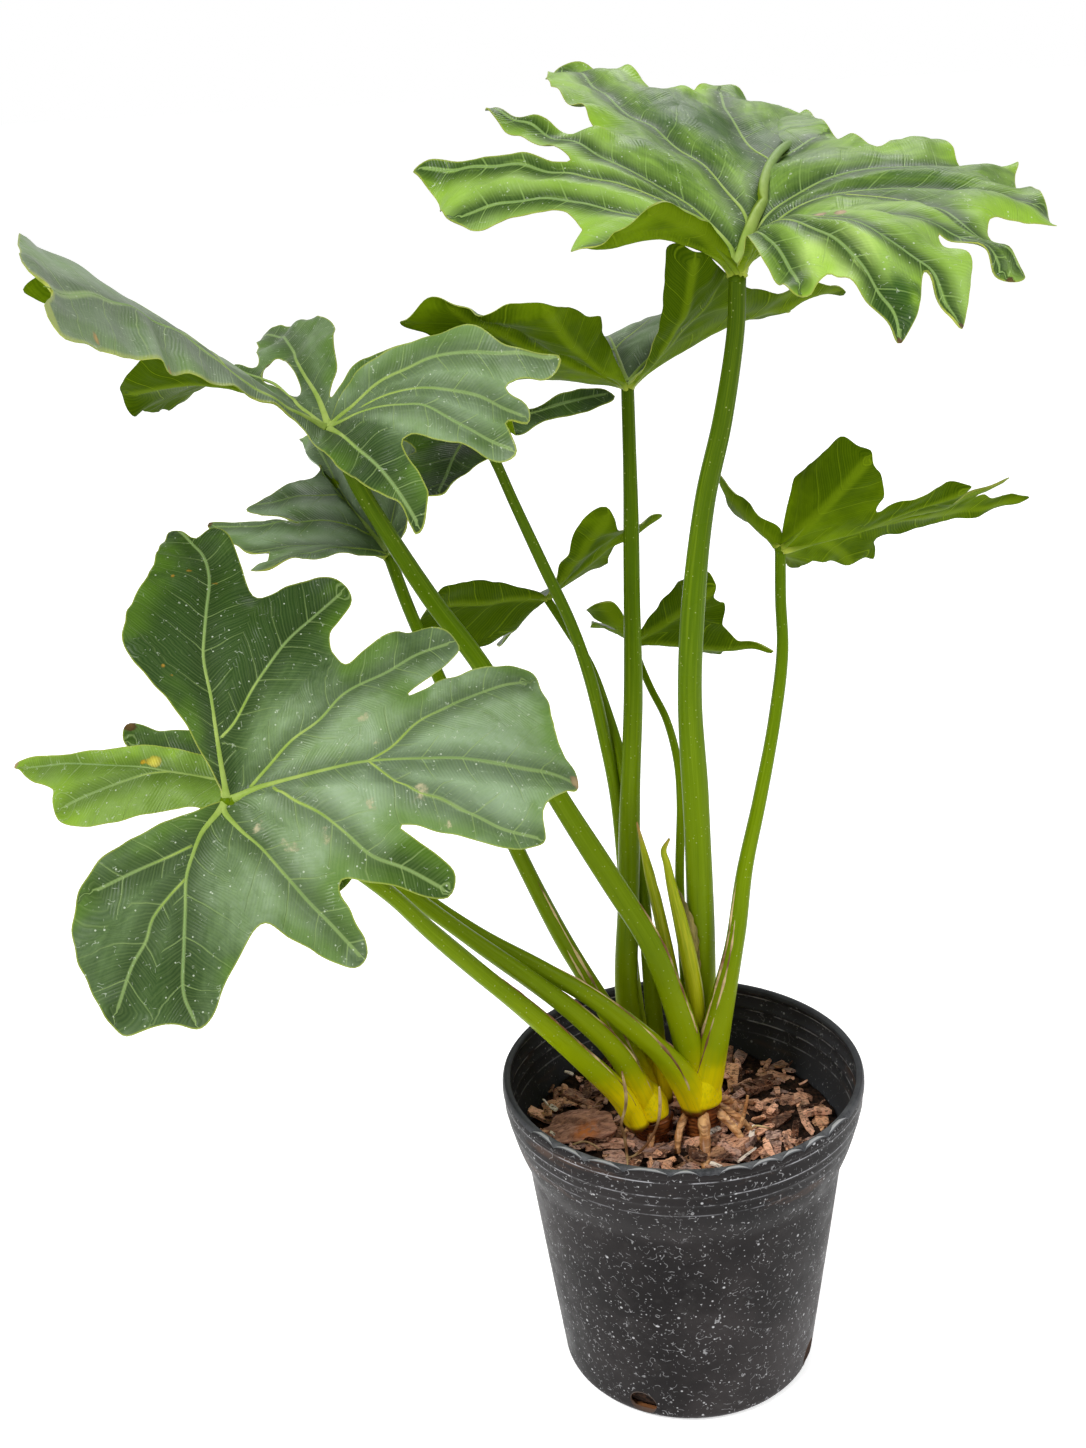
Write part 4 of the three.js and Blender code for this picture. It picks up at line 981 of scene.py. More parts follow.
# %% Routes of the stalks
stalks = {
    "10": {
        "route": [[13, -7, 211], [17, -7, 232], [27, -2, 275], [40, 6, 330], [48, 14, 379], [60, 24, 427],
                  [72, 36, 480], [79, 46, 526], [79, 54, 559], [80, 60, 593]],
        "taper": [[0, 12.5], [0.06, 12.5], [0.16, 9.5], [0.3, 6.6], [0.55, 4.8], [1, 3.6]],
    },
    "07": {
        "route": [[9, -12, 209], [1, -16, 232], [-14, -19, 257], [-38, -19, 283], [-63, -19, 306],
                  [-96, -21, 331], [-135, -22, 359], [-173, -18, 389], [-211, -8, 424],
                  [-236, 6, 455], [-249, 15, 471]],
        "taper": [[0, 10.5], [0.08, 10.5], [0.16, 8], [0.3, 6.6], [0.6, 5], [1, 3.4]],
    },
    "05": {
        "route": [[-33, -22, 203], [-46, -27, 232], [-72, -36, 269], [-104, -49, 313], [-135, -63, 353],
                  [-164, -79, 394], [-186, -93, 428], [-222, -119, 475], [-252, -140, 508],
                  [-268, -150, 521]],
        "taper": [[0, 8.6], [0.15, 8], [0.4, 6.2], [0.7, 5], [1, 4]],
    },
    "06": {
        "route": [[-24, -11, 204], [-30, -16, 226], [-46, -22, 262], [-71, -28, 296], [-103, -36, 331],
                  [-141, -42, 368], [-180, -50, 409], [-212, -56, 446], [-234, -59, 472], [-246, -60, 484]],
        "taper": [[0, 10], [0.1, 8.8], [0.3, 6.8], [0.6, 5.2], [1, 3.8]],
    },
    "03": {
        "route": [[10, 0, 214], [5, -6, 252], [-4, -8, 291], [-20, -8, 339], [-44, -7, 385], [-76, -6, 446],
                  [-100, -4, 495], [-123, -6, 545], [-151, -9, 591], [-173, -13, 633], [-189, -16, 666],
                  [-199, -19, 692], [-205, -20, 705]],
        "taper": [[0, 11], [0.08, 10.5], [0.16, 8.6], [0.4, 7.6], [0.7, 6.2], [1, 4.8]],
    },
    "04": {
        "route": [[-20, 0, 203], [-34, 0, 244], [-56, 3, 291], [-79, 8, 336], [-106, 14, 400],
                  [-128, 18, 462], [-149, 21, 520], [-168, 24, 575], [-179, 25, 613]],
        "taper": [[0, 8.5], [0.1, 8], [0.25, 6.4], [0.6, 5], [1, 3.9]],
    },
    "01": {
        "route": [[18, 15, 206], [18, 20, 250], [18, 21, 281], [17, 18, 360], [15, 12, 437], [12, 5, 510],
                  [15, -4, 580], [23, -10, 647], [34, -15, 697], [42, -21, 752], [43, -25, 785]],
        "taper": [[0, 9.7], [0.3, 9.4], [0.6, 7.8], [0.85, 6], [1, 5.2]],
    },
    "02": {
        "route": [[-26, 6, 202], [-31, 16, 250], [-36, 22, 279], [-32, 30, 353], [-28, 38, 426],
                  [-23, 46, 496], [-21, 55, 564], [-19, 64, 631], [-18, 75, 705]],
        "taper": [[0, 8.5], [0.3, 7.8], [0.6, 6.4], [0.85, 5], [1, 4.2]],
    },
    "08": {
        "route": [[-13, 8, 201], [-16, 20, 245], [-19, 31, 305], [-22, 40, 364], [-27, 47, 408],
                  [-33, 55, 454], [-41, 63, 485], [-51, 74, 514], [-64, 85, 535], [-78, 95, 557]],
        "taper": [[0, 7], [0.2, 6], [0.4, 4.6], [0.7, 3.6], [1, 2.8]],
    },
    "09": {
        "route": [[-18, 14, 201], [-27, 32, 244], [-32, 42, 303], [-33, 50, 365], [-36, 54, 418],
                  [-43, 52, 466], [-52, 46, 515], [-63, 40, 555], [-80, 32, 600], [-96, 25, 643],
                  [-107, 22, 673], [-117, 20, 695]],
        "taper": [[0, 6.5], [0.2, 5.6], [0.5, 4.6], [1, 3.2]],
    },
    "11": {
        "route": [[10, 16, 206], [7, 27, 274], [5, 38, 356], [8, 50, 419], [7, 58, 446], [1, 70, 472],
                  [-8, 82, 490], [-14, 99, 503], [-17, 115, 514]],
        "taper": [[0, 5.5], [0.2, 4], [0.6, 3], [1, 2.4]],
    },
}
print("stalks:", len(stalks))

# %% Draw the stalks
for name, stalk in stalks.items():
    ahead, left, over = leaf_axes(leaves[name])
    stalk["route"][-1] = list(np.array(leaves[name]["at"]) - 0.8 * over)
    phase = 0.9 * int(name)
    ribbed = lambda part, angle, k=phase: (
        1 + 0.022 * np.sin(5 * angle + k) + 0.02 * np.sin(part * 31 + k)
    )
    stalk["piece"] = tube(f"stalk_{name}_round", stalk["route"], stalk["taper"], 28, 4.2, swell=ribbed)
    print(stalk["piece"].name, "drawn")

# %% [markdown]
# At the foot the sheaths of a crown's stalks grow into one yellow collar with a sharp brown lower
# edge. It could be sculpted out of the stalks, but a short wide tube round them is easier to shape.

# %% Wrap the collars
lobed = lambda part, angle: 1 + 0.05 * np.sin(2 * angle + 0.6) + 0.03 * np.sin(5 * angle + 3 * part)
collars = {
    "10": tube("collar_right", [[11.5, -8.5, 211.6], [11.6, -8.4, 218], [12.5, -8, 227], [14, -7, 238]],
               [[0, 13.8], [0.08, 14.9], [0.3, 14.7], [0.6, 13.2], [1, 9]], 48, 1.2, swell=lobed),
    "06": tube("collar_left", [[-25, -13, 205.6], [-25, -13, 212], [-27, -13, 220], [-31, -14, 230]],
               [[0, 11.6], [0.1, 13.2], [0.35, 13.1], [0.65, 11.4], [1, 7.6]], 48, 1.2, swell=lobed),
}
for name, collar in collars.items():
    stalks[name]["piece"] = join([stalks[name]["piece"], collar], f"stalk_{name}_round")
    print("collar on", stalks[name]["piece"].name)

# %% [markdown]
# The base of a stalk is a sheath whose two edges clasp the next stalk. The edges dry first, so
# they show as thin cream and brown lines. They are narrow tubes that follow the stalk's surface.

# %% Draw the dry edges of the sheaths
def sheath_edge(name, start, end, angles, width):
    """A dry edge from one share of the stalk's length to another, at angles from its right side."""
    stalk = stalks[name]
    line = through(stalk["route"], 3)
    shares = np.linspace(0, 1, len(line))
    ahead = unit(np.gradient(line, axis=0))
    front = unit(np.array([0, -1.0, 0]) + ahead[:, 1:2] * ahead)
    side = np.cross(ahead, front)
    taper = np.array(stalk["taper"])
    angles = np.interp(np.linspace(0, 1, 9), np.linspace(0, 1, len(angles)), angles)
    route = []
    for share, angle in zip(np.linspace(start, end, 9), np.radians(angles)):
        k = int(round(share * (len(line) - 1)))
        out = math.cos(angle) * side[k] + math.sin(angle) * front[k]
        route.append(list(line[k] + out * (np.interp(shares[k], taper[:, 0], taper[:, 1]) - 0.1)))
    curl = lambda part, angle: 1 + 0.35 * np.sin(part * 23) + 0.2 * np.sin(part * 61)
    widths = [[0, width * 0.5], [0.2, width], [0.8, width * 0.9], [1, 0.3]]
    return tube("edge", route, widths, 10, 1.6, flat=0.5, swell=curl)


dry_edges = [
    sheath_edge("10", 0.01, 0.42, [165, 160, 150, 150], 1.1),
    sheath_edge("10", 0.01, 0.36, [140, 125, 115, 120], 0.8),
    sheath_edge("07", 0.03, 0.42, [95, 45, 8, -6], 0.9),
    sheath_edge("05", 0.05, 0.42, [40, 8, -2, -8], 0.85),
    sheath_edge("06", 0.05, 0.36, [40, 12, 0, -8], 0.75),
    sheath_edge("04", 0.05, 0.44, [75, 60, 50, 45], 1.1),
    sheath_edge("04", 0.05, 0.32, [120, 110, 100, 90], 0.8),
    sheath_edge("03", 0.1, 0.3, [30, 25, 15, 5], 0.9),
]
sheath_edges = join(dry_edges, "dry_sheath_edges")
print("dry edges:", len(dry_edges))

# %% Finish the stalks
stalk_skin = new_finish("glossy_stalk_skin", 0.26, 0.4, 1.14)
where = object_place()
height = axis(where, 2)
wrap = uv("route")
streak = noise(stretch(wrap, (26, 5, 1)), 1, 4, 0.6, 0.2)
cloud = noise(where, 22, 3)
level = plus(height, times(cloud, 0.05))
colour = tint(span(level, 0.24, 0.288), (0.98, 0.78, 0.003), (0.26, 0.32, 0.001))
colour = tint(span(level, 0.262, 0.37), colour, (0.13, 0.2, 0.001))
colour = tint(span(level, 0.38, 0.62), colour, (0.074, 0.138, 0.001))
# Darker still near the blades: partly the stalk's own deeper green, partly painted shade under the leaves.
colour = tint(span(level, 0.56, 0.72, 0, 0.8), colour, (0.045, 0.085, 0.001))
sideways = axis(where, 0)
foot = plus(height, span(sideways, -0.008, -0.002, 0.006, 0))
colour = tint(span(foot, 0.2095, 0.2145), (0.2, 0.075, 0.012), colour)
colour = tint(span(streak, 0.45, 0.72, 0, 0.35), colour, (0.2, 0.29, 0.01))
colour = tint(span(streak, 0.28, 0.42, 0.35, 0), colour, (0.045, 0.09, 0.001))
fleck = span(cells(where, 240), 0.08, 0.14, 0.5, 0)
colour = tint(fleck, colour, (0.42, 0.46, 0.16))
colour_with(colour, span(cloud, 0.3, 0.7, 0.22, 0.38))
bump(streak, 0.25, 0.35)

papery = new_finish("dry_papery_edge", 0.6, 0.35)
where = object_place()
wear = noise(where, 160, 4, 0.65)
wide = noise(where, 30, 3)
colour = tint(span(wide, 0.42, 0.58), (0.16, 0.065, 0.02), (0.62, 0.46, 0.22))
colour = tint(span(wear, 0.3, 0.48, 0.55, 0), colour, (0.16, 0.06, 0.015))
colour_with(colour)
bump(wear, 0.5, 0.4)
dress(sheath_edges, papery)
keep(sheath_edges, "dry_fibre")
for name, stalk in stalks.items():
    dress(stalk["piece"], stalk_skin)
    keep(stalk["piece"], "leaf_stalk", f"stalk_{name}")

# %% [markdown]
# ## Rolled leaves, papery sheath and dry fibres
# Between the stalks stand two young leaves that are still rolled into spears. A rolled leaf shows
# the spiral of its outer edge, so a low ridge winds up each tube. Beside them hangs one papery
# sheath, and thin dry fibres from old sheaths curl down to the bark.

# %% Draw the spears, the sheath and the fibres
def rolled(part, angle):
    wound = (angle / (2 * np.pi) - 1.4 * part) % 1
    return 1 + 0.13 * (1 - wound) - 0.06


spears = [
    tube("leaf_spear_hooked_rolled", [[10, 8, 224], [12, 6, 252], [11, 5, 290], [4, 5, 336], [-3, 5, 374],
         [-6, 5, 392], [-8, 4, 402], [-4, 3, 411]],
         [[0, 6.6], [0.5, 6], [0.8, 3.6], [0.95, 2], [1, 0.8]], 36, 2, swell=rolled),
    tube("leaf_spear_straight_rolled", [[2, 12, 226], [1, 11, 260], [-4, 11, 300], [-10, 12, 338],
         [-17, 12, 378], [-25, 13, 420]], [[0, 5.6], [0.5, 4.6], [0.8, 3.6], [1, 0.5]], 36, 2, swell=rolled),
]
crumple = lambda part, angle: 1 + 0.2 * np.sin(3 * angle + 14 * part) + 0.12 * np.sin(5 * angle - 33 * part)
sheath = tube("papery_sheath_dry", [[13, 10, 300], [12, 10, 315], [10, 9, 332], [6, 9, 352], [1, 9, 370]],
              [[0, 2.2], [0.4, 4.3], [0.8, 3.1], [1, 0.6]], 40, 1.4, 0.42, swell=crumple)
strand = [[0, 0.6], [0.15, 1.2], [0.5, 1.0], [0.8, 1.1], [1, 0.6]]
fibres = [
    tube("dry_fibre_long_curled", [[-44, -41, 259], [-42, -43, 241], [-43, -38, 226], [-46, -41, 217],
         [-44, -41, 205], [-43, -46, 194], [-43, -49, 187]], strand, 10, 1, 0.6),
    tube("dry_fibre_short_curled", [[-18, -26, 236], [-18, -29, 223], [-20, -31, 210], [-27, -37, 199],
         [-38, -43, 192], [-44, -47, 194]], strand, 10, 1, 0.6),
    tube("dry_fibre_thin_left", [[-62, -30, 190], [-66, -34, 197], [-72, -33, 199], [-80, -27, 193],
         [-78, -20, 190]], [[0, 0.5], [0.5, 0.7], [1, 0.4]], 8, 1),
    tube("dry_fibre_thin_right", [[46, -16, 190], [50, -22, 197], [57, -24, 196], [62, -18, 190]],
         [[0, 0.5], [0.5, 0.7], [1, 0.4]], 8, 1),
]
print("drawn:", [piece.name for piece in (*spears, sheath, *fibres)])

# %% Finish the spears and the dry pieces
spear_skin = new_finish("rolled_young_leaf", 0.34, 0.35, 1.25)
where = object_place()
wrap = uv("route")
streak = noise(stretch(wrap, (30, 7, 1), (0, 0, 0.25)), 1, 4, 0.6)
height = axis(where, 2)
colour = tint(span(height, 0.25, 0.36), (0.4, 0.4, 0.001), (0.24, 0.3, 0.002))
colour = tint(span(streak, 0.4, 0.7, 0, 0.6), colour, (0.5, 0.46, 0.02))
colour = tint(span(streak, 0.26, 0.42, 0.5, 0), colour, (0.1, 0.16, 0.002))
colour = tint(span(height, 0.4, 0.42), colour, (0.36, 0.2, 0.06))
colour_with(colour)
bump(streak, 0.4, 0.4)
dry_leaf = new_finish("olive_papery_sheath", 0.55, 0.4)
where = object_place()
crease = noise(stretch(where, (300, 300, 60)), 1, 5, 0.65, 0.5)
colour = tint(span(crease, 0.35, 0.65), (0.1, 0.085, 0.008), (0.27, 0.21, 0.05))
colour_with(colour)
bump(crease, 0.7, 0.6)
for spear, node_name in zip(spears, ("leaf_spear_hooked", "leaf_spear_straight")):
    dress(spear, spear_skin)
    keep(spear, "leaf_spear", node_name)
dress(sheath, dry_leaf)
keep(sheath, "dry_fibre", "papery_sheath")
for fibre, nodes in zip(fibres, (["dry_fibre_long"], ["dry_fibre_short"], [], [])):
    dress(fibre, papery)
    keep(fibre, "dry_fibre", *nodes)

# %% [markdown]
# ## The blades
# A blade is a thin, leathery sheet that is cut into lobes. All its main veins start at the point
# where the stalk meets it. It could be a flat card with a picture, but then it couldn't curl. Here
# each blade is drawn flat first, as bearing and reach round that point, filled with a fine net of
# triangles, and then every point is carried onto the curved leaf.

# %% The curve of a leaf
def smooth_table(values, bearing):
    spot = (180 - bearing) / 60
    step = np.clip(np.floor(spot), 0, 5).astype(int)
    part = spot - step
    part = part * part * (3 - 2 * part)
    values = np.array(values, float)
    return values[step] * (1 - part) + values[step + 1] * part


def on_leaf(leaf, flat):
    """The place on the curved leaf, in millimetres, of points of the flat leaf."""
    ahead, left, over = leaf_axes(leaf)
    distance = np.hypot(flat[:, 0], flat[:, 1])
    bearing = np.arctan2(flat[:, 1], flat[:, 0])
    slope = np.radians(smooth_table(leaf["rise"], np.degrees(bearing)))
    curl = np.radians(smooth_table(leaf["bend"], np.degrees(bearing))) / leaf["size"]
    curl = np.where(np.abs(curl) < 1e-6, 1e-6, curl)
    reach = (np.sin(slope) - np.sin(slope - curl * distance)) / curl
    lift = (np.cos(slope - curl * distance) - np.cos(slope)) / curl
    x, y = reach * np.cos(bearing), reach * np.sin(bearing)
    shut = math.radians(leaf["fold"]) * (1 + np.cos(bearing)) / 2
    wide = np.sqrt(y * y + 4) - 2
    aside = np.sign(y) * (wide * np.cos(shut) + lift * np.sin(shut) * np.minimum(1, wide / 10))
    high = lift * np.cos(shut) - wide * np.sin(shut)
    return np.array(leaf["at"], float) + x[:, None] * ahead + aside[:, None] * left + high[:, None] * over


def leaf_normals(leaf, flat):
    distance = np.maximum(np.hypot(flat[:, 0], flat[:, 1]), 3.0)
    bearing = np.arctan2(flat[:, 1], flat[:, 0])
    spot = lambda turn, out: on_leaf(leaf, np.column_stack([out * np.cos(turn), out * np.sin(turn)]))
    outward = spot(bearing, distance + 1) - spot(bearing, distance - 1)
    turning = spot(bearing + 0.017, distance) - spot(bearing - 0.017, distance)
    return unit(np.cross(outward, turning))


def flat_point(bearing, distance):
    angle = math.radians(bearing)
    return [distance * math.cos(angle), distance * math.sin(angle)]


# %% [markdown]
# The veins are drawn next. On the four large leaves in front their courses are given, as bearing
# and distance from the stalk. On the other leaves one vein runs straight to the tip, the veins
# near it branch off from it, and those that point sideways or back start at the stalk.

# %% Draw the courses of the veins
courses = {
    "05": [
        (1.0, [(0, 0), (22, 18), (14, 43), (11, 69), (10, 84), (8, 109), (6, 135), (4, 159), (3, 184),
               (2, 204)]),
        (0.62, [(10, 84), (14, 99), (20, 118), (22, 137), (24, 163), (24, 196)]),
        (0.55, [(10, 84), (3, 95), (-3, 111), (-4, 125), (-6, 142), (-8, 162), (-8, 183)]),
        (0.7, [(12, 28), (-9, 38), (-15, 55), (-21, 72), (-25, 91), (-24, 112), (-24, 136)]),
        (0.8, [(0, 0), (-107, 8), (-71, 22), (-58, 37), (-54, 56), (-52, 74), (-50, 92), (-48, 120)]),
        (0.95, [(0, 0), (-116, 11), (-120, 27), (-116, 40), (-112, 55), (-106, 72), (-102, 91), (-98, 118),
                (-94, 131)]),
        (0.5, [(-112, 56), (-115, 70), (-116, 85), (-114, 97), (-114, 112), (-112, 136)]),
        (0.5, [(-120, 37), (-127, 49), (-133, 65), (-138, 92)]),
        (1.0, [(0, 0), (112, 22), (110, 43), (108, 64), (107, 87), (105, 99), (102, 118), (99, 145),
               (99, 169), (101, 198)]),
        (0.6, [(106, 38), (94, 46), (84, 69), (78, 89), (74, 107), (70, 125), (66, 146)]),
        (0.75, [(31, 16), (40, 31), (44, 51), (42, 71), (44, 93), (41, 120), (40, 144), (38, 166)]),
    ],
    "01": [
        (2.8, [(0, 0), (9, 40), (9, 78), (8, 100), (6.8, 120), (5.4, 142), (4, 166), (2, 192),
               (0, 216), (-1, 242)]),
        (0.8, [(0, 0), (16, 49), (23, 71), (30, 100), (36, 119), (39, 144), (42, 168), (40, 244), (40, 266)]),
        (0.6, [(6, 118), (12, 136), (15, 161), (17, 184), (17, 232)]),
        (0.8, [(0, 0), (38, 21), (48, 48), (54, 68), (62, 90), (67, 125), (68, 160), (68, 198)]),
        (0.7, [(48, 44), (62, 60), (76, 90), (80, 118), (82, 166), (82, 212)]),
        (0.5, [(6, 112), (-7, 128), (-13, 150), (-15, 172)]),
        (0.75, [(0, 0), (-20, 59), (-24, 81), (-30, 105), (-36, 129), (-41, 160), (-42, 226)]),
        (0.75, [(0, 0), (-32, 62), (-40, 91), (-48, 115), (-58, 140), (-64, 170), (-68, 194)]),
        (0.55, [(-44, 96), (-62, 110), (-78, 125), (-90, 145), (-94, 176)]),
        (0.9, [(0, 0), (-116, 48), (-122, 96), (-120, 125), (-118, 154), (-118, 176)]),
        (0.7, [(0, 0), (-100, 30), (-96, 70), (-97, 120), (-98, 168)]),
        (0.7, [(0, 0), (-130, 30), (-134, 80), (-135, 120), (-135, 164)]),
        (0.6, [(0, 0), (-146, 25), (-152, 60), (-154, 110)]),
        (0.9, [(0, 0), (110, 25), (100, 70), (94, 120), (93, 176)]),
        (0.7, [(0, 0), (124, 30), (128, 70), (128, 104)]),
        (0.6, [(0, 0), (140, 30), (145, 60), (147, 94)]),
    ],
    "03": [
        (1.0, [(0, 0), (-94, 8), (-92, 28), (-89, 60), (-91, 100), (-92, 144), (-91, 180)]),
        (0.9, [(0, 0), (136, 27), (140, 46), (141, 68), (142, 89), (142, 117), (143, 160)]),
        (0.9, [(0, 0), (112, 22), (119, 56), (121, 83), (121, 105), (121, 130), (122, 150)]),
        (0.6, [(126, 36), (130, 66), (130, 94), (131, 120), (130, 146)]),
        (0.8, [(0, 0), (90, 20), (92, 60), (95, 100), (96, 142)]),
        (1.1, [(0, 0), (8, 40), (4, 80), (2, 107), (0, 150), (1, 190), (2, 232)]),
        (0.6, [(3, 92), (-4, 114), (-6, 136), (-8, 160), (-12, 200)]),
        (0.8, [(0, 0), (-30, 30), (-40, 70), (-44, 110), (-46, 160)]),
        (0.8, [(0, 0), (-60, 30), (-68, 44), (-72, 120), (-73, 170), (-74, 210)]),
        (0.7, [(0, 0), (-150, 20), (-153, 70)]),
    ],
    "04": [
        (1.5, [(0, 0), (-5, 34), (-1, 55), (5, 68), (6, 91), (2, 118), (-1, 148)]),
        (0.7, [(-4, 50), (-10, 80), (-11, 110), (-11, 130)]),
        (0.8, [(4, 60), (23, 72), (36, 86), (44, 97)]),
        (0.8, [(6, 20), (38, 44), (52, 64), (60, 86), (58, 118)]),
        (0.7, [(0, 0), (84, 40), (84, 90)]),
        (0.7, [(0, 0), (118, 40), (121, 100)]),
        (0.8, [(0, 0), (-30, 40), (-36, 80), (-38, 122)]),
        (0.7, [(0, 0), (-78, 40), (-82, 84)]),
        (0.6, [(0, 0), (-130, 20), (-134, 38)]),
    ],
}


def branching_courses(leaf):
    edge = sorted(leaf["outline"])
    reach_at = lambda bearing: float(np.interp(bearing, [row[0] for row in edge], [row[1] for row in edge]))
    middle = min(leaf["ribs"], key=abs)
    tip = np.array(flat_point(middle, reach_at(middle) * 0.96))
    made = [(1.0, np.linspace([0, 0], tip, 12))]
    for bearing in leaf["ribs"]:
        if bearing == middle:
            continue
        away = abs(bearing - middle)
        branches = away <= 58
        start = tip * 0.5 * max(0, 1 - away / 58)
        end = np.array(flat_point(bearing, reach_at(bearing) * 0.95))
        lean = (0.09 if branches else 0.05) * np.linalg.norm(end - start)
        turn = start + (end - start) * 0.5 + lean * unit(tip)
        t = np.linspace(0, 1, 12)[:, None]
        curve = start * (1 - t) ** 2 + 2 * turn * t * (1 - t) + end * t * t
        made.append((0.78 - 0.2 * branches, curve))
    return made


for name, leaf in leaves.items():
    if name in courses:
        leaf["courses"] = [(wide, [flat_point(*row) for row in rows]) for wide, rows in courses[name]]
    else:
        leaf["courses"] = branching_courses(leaf)
    leaf["courses"] = [(wide, through(rows, 4)) for wide, rows in leaf["courses"]]
print("veins:", {name: len(leaf["courses"]) for name, leaf in leaves.items()})

# %% [markdown]
# Now the flat blade is filled. The edge runs as a smooth curve from the stalk round all lobes and
# back, the inside takes points in a hexagonal pattern, and Delaunay's rule joins them to even
# triangles. Points outside the edge, or inside the torn hole of leaf 03, are left out.

# %% Fill a flat outline
def inside(loop, spots):
    found = np.zeros(len(spots), bool)
    for (ax, ay), (bx, by) in zip(loop, np.roll(loop, -1, axis=0)):
        if ay != by:
            crosses = (ay > spots[:, 1]) != (by > spots[:, 1])
            found ^= crosses & (spots[:, 0] < (bx - ax) * (spots[:, 1] - ay) / (by - ay) + ax)
    return found


def to_path(path, spots):
    """Along, signed across and plain distance from spots to the nearest part of a path."""
    best = np.full(len(spots), 1e9)
    along, across = np.zeros(len(spots)), np.zeros(len(spots))
    gone = 0.0
    for start, end in zip(path[:-1], path[1:]):
        step = end - start
        length = max(float(np.hypot(*step)), 1e-6)
        off = spots - start
        part = np.clip(off @ step / length**2, 0, 1)
        rest = off - part[:, None] * step
        far = np.hypot(rest[:, 0], rest[:, 1])
        near = far < best
        side = np.sign(step[0] * off[:, 1] - step[1] * off[:, 0])
        best = np.where(near, far, best)
        along = np.where(near, gone + part * length, along)
        across = np.where(near, far * side, across)
        gone += length
    return along, across, best


def fill(loop, spacing, holes=()):
    low, high = loop.min(axis=0), loop.max(axis=0)
    rows = np.arange(low[1], high[1], spacing * 0.866)
    spots = []
    for number, y in enumerate(rows):
        x = np.arange(low[0] + (number % 2) * spacing / 2, high[0], spacing)
        spots.append(np.column_stack([x, np.full(len(x), y)]))
    spots = np.vstack(spots)
    spots = spots[inside(loop, spots)]
    for ring in (loop, *holes):
        spots = spots[to_path(np.vstack([ring, ring[:1]]), spots)[2] > spacing * 0.6]
    points, edges = [], []
    for ring in (loop, *holes):
        first, count = len(points), len(ring)
        points += list(ring)
        edges += [(first + k, first + (k + 1) % count) for k in range(count)]
    points = [Vector(p) for p in points + list(spots)]
    found, _, faces, _, _, _ = delaunay_2d_cdt(points, edges, [], 0, 1e-4)
    found = np.array([tuple(p) for p in found])
    faces = np.array([face for face in faces if len(face) == 3])
    middle = found[faces].mean(axis=1)
    kept = inside(loop, middle)
    for ring in holes:
        kept &= ~inside(ring, middle)
    return found, faces[kept]


# %% [markdown]
# A blade isn't a smooth shell. Its main veins lie in shallow valleys, the green between the side
# veins is quilted, and the margin waves. Only the broad midrib of leaf 01 stands up on a low keel.
# Round ribs that stand out mostly below are laid along the veins. Swells are further hills, and the
# other patches paint light and shade, lighter or darker, onto the upper and the lower face. Each
# patch is given by its bearing, distance, size and strength.

# %% Lay ribs along the veins
def rib(leaf, wide, path, height):
    normals = leaf_normals(leaf, path)
    middle = on_leaf(leaf, path) + normals * height[:, None]
    broad = wide > 2
    ahead = unit(np.gradient(middle, axis=0))
    normals = unit(normals - (normals * ahead).sum(axis=1, keepdims=True) * ahead)
    side = np.cross(ahead, normals)
    rows = len(path) + 1
    far = np.hypot(path[:, 0], path[:, 1])
    start = far[0] / leaf["size"]
    full = (0.6 + leaf["size"] * 0.0034) * wide
    neck = 0.42 * leaf["neck"] * np.exp(-far / 15) * (far[0] < 1)
    stand = 0.5 if broad else -0.2

    def place(turn, share):
        step = np.rint(share * rows)
        index = np.clip(step - 1, 0, rows - 2).astype(int)
        part = index / (rows - 2)
        radius = full * ((1 - 0.42 * start) * (1 - part) ** 1.1 + 0.14)
        if broad:
            radius = full * (0.86 - 0.36 * part) * np.minimum(1, (1.02 - part) / 0.06) ** 0.5
        radius = radius + neck[index]
        radius = np.where((step < 0.5) | (step > rows - 0.5), 0, radius)
        angle = 2 * np.pi * turn
        high = np.where(np.sin(angle) > 0, 0.55, 1.95 + stand) * np.sin(angle)
        out = np.cos(angle)[:, None] * side[index] + (high + stand)[:, None] * normals[index]
        return middle[index] + radius[:, None] * out

    piece = wrapped_grid("rib", 12, rows, place)
    close_up(piece, merge=0.00001)
    return piece


def hub(leaf, radius):
    deselect()
    bpy.ops.mesh.primitive_uv_sphere_add(segments=24, ring_count=14, radius=1)
    piece = bpy.context.object
    ball = read_points(piece)
    ball *= 1 + 0.05 * ripple(ball, 1.4, 8)[:, None]
    ahead, left, over = leaf_axes(leaf)
    spots = np.array(leaf["at"]) + radius * (
        ball[:, :1] * ahead + ball[:, 1:2] * left + (ball[:, 2:] * 0.8 - 0.3) * over)
    write_points(piece, spots)
    close_up(piece)
    return piece


# %% Shape the relief
def patches(flat, rows):
    """The sum of soft round patches given by bearing, distance, size and strength."""
    total = np.zeros(len(flat))
    for bearing, distance, size, more in rows:
        total += more * np.exp(-((np.hypot(*(flat - flat_point(bearing, distance)).T) / size) ** 2))
    return total


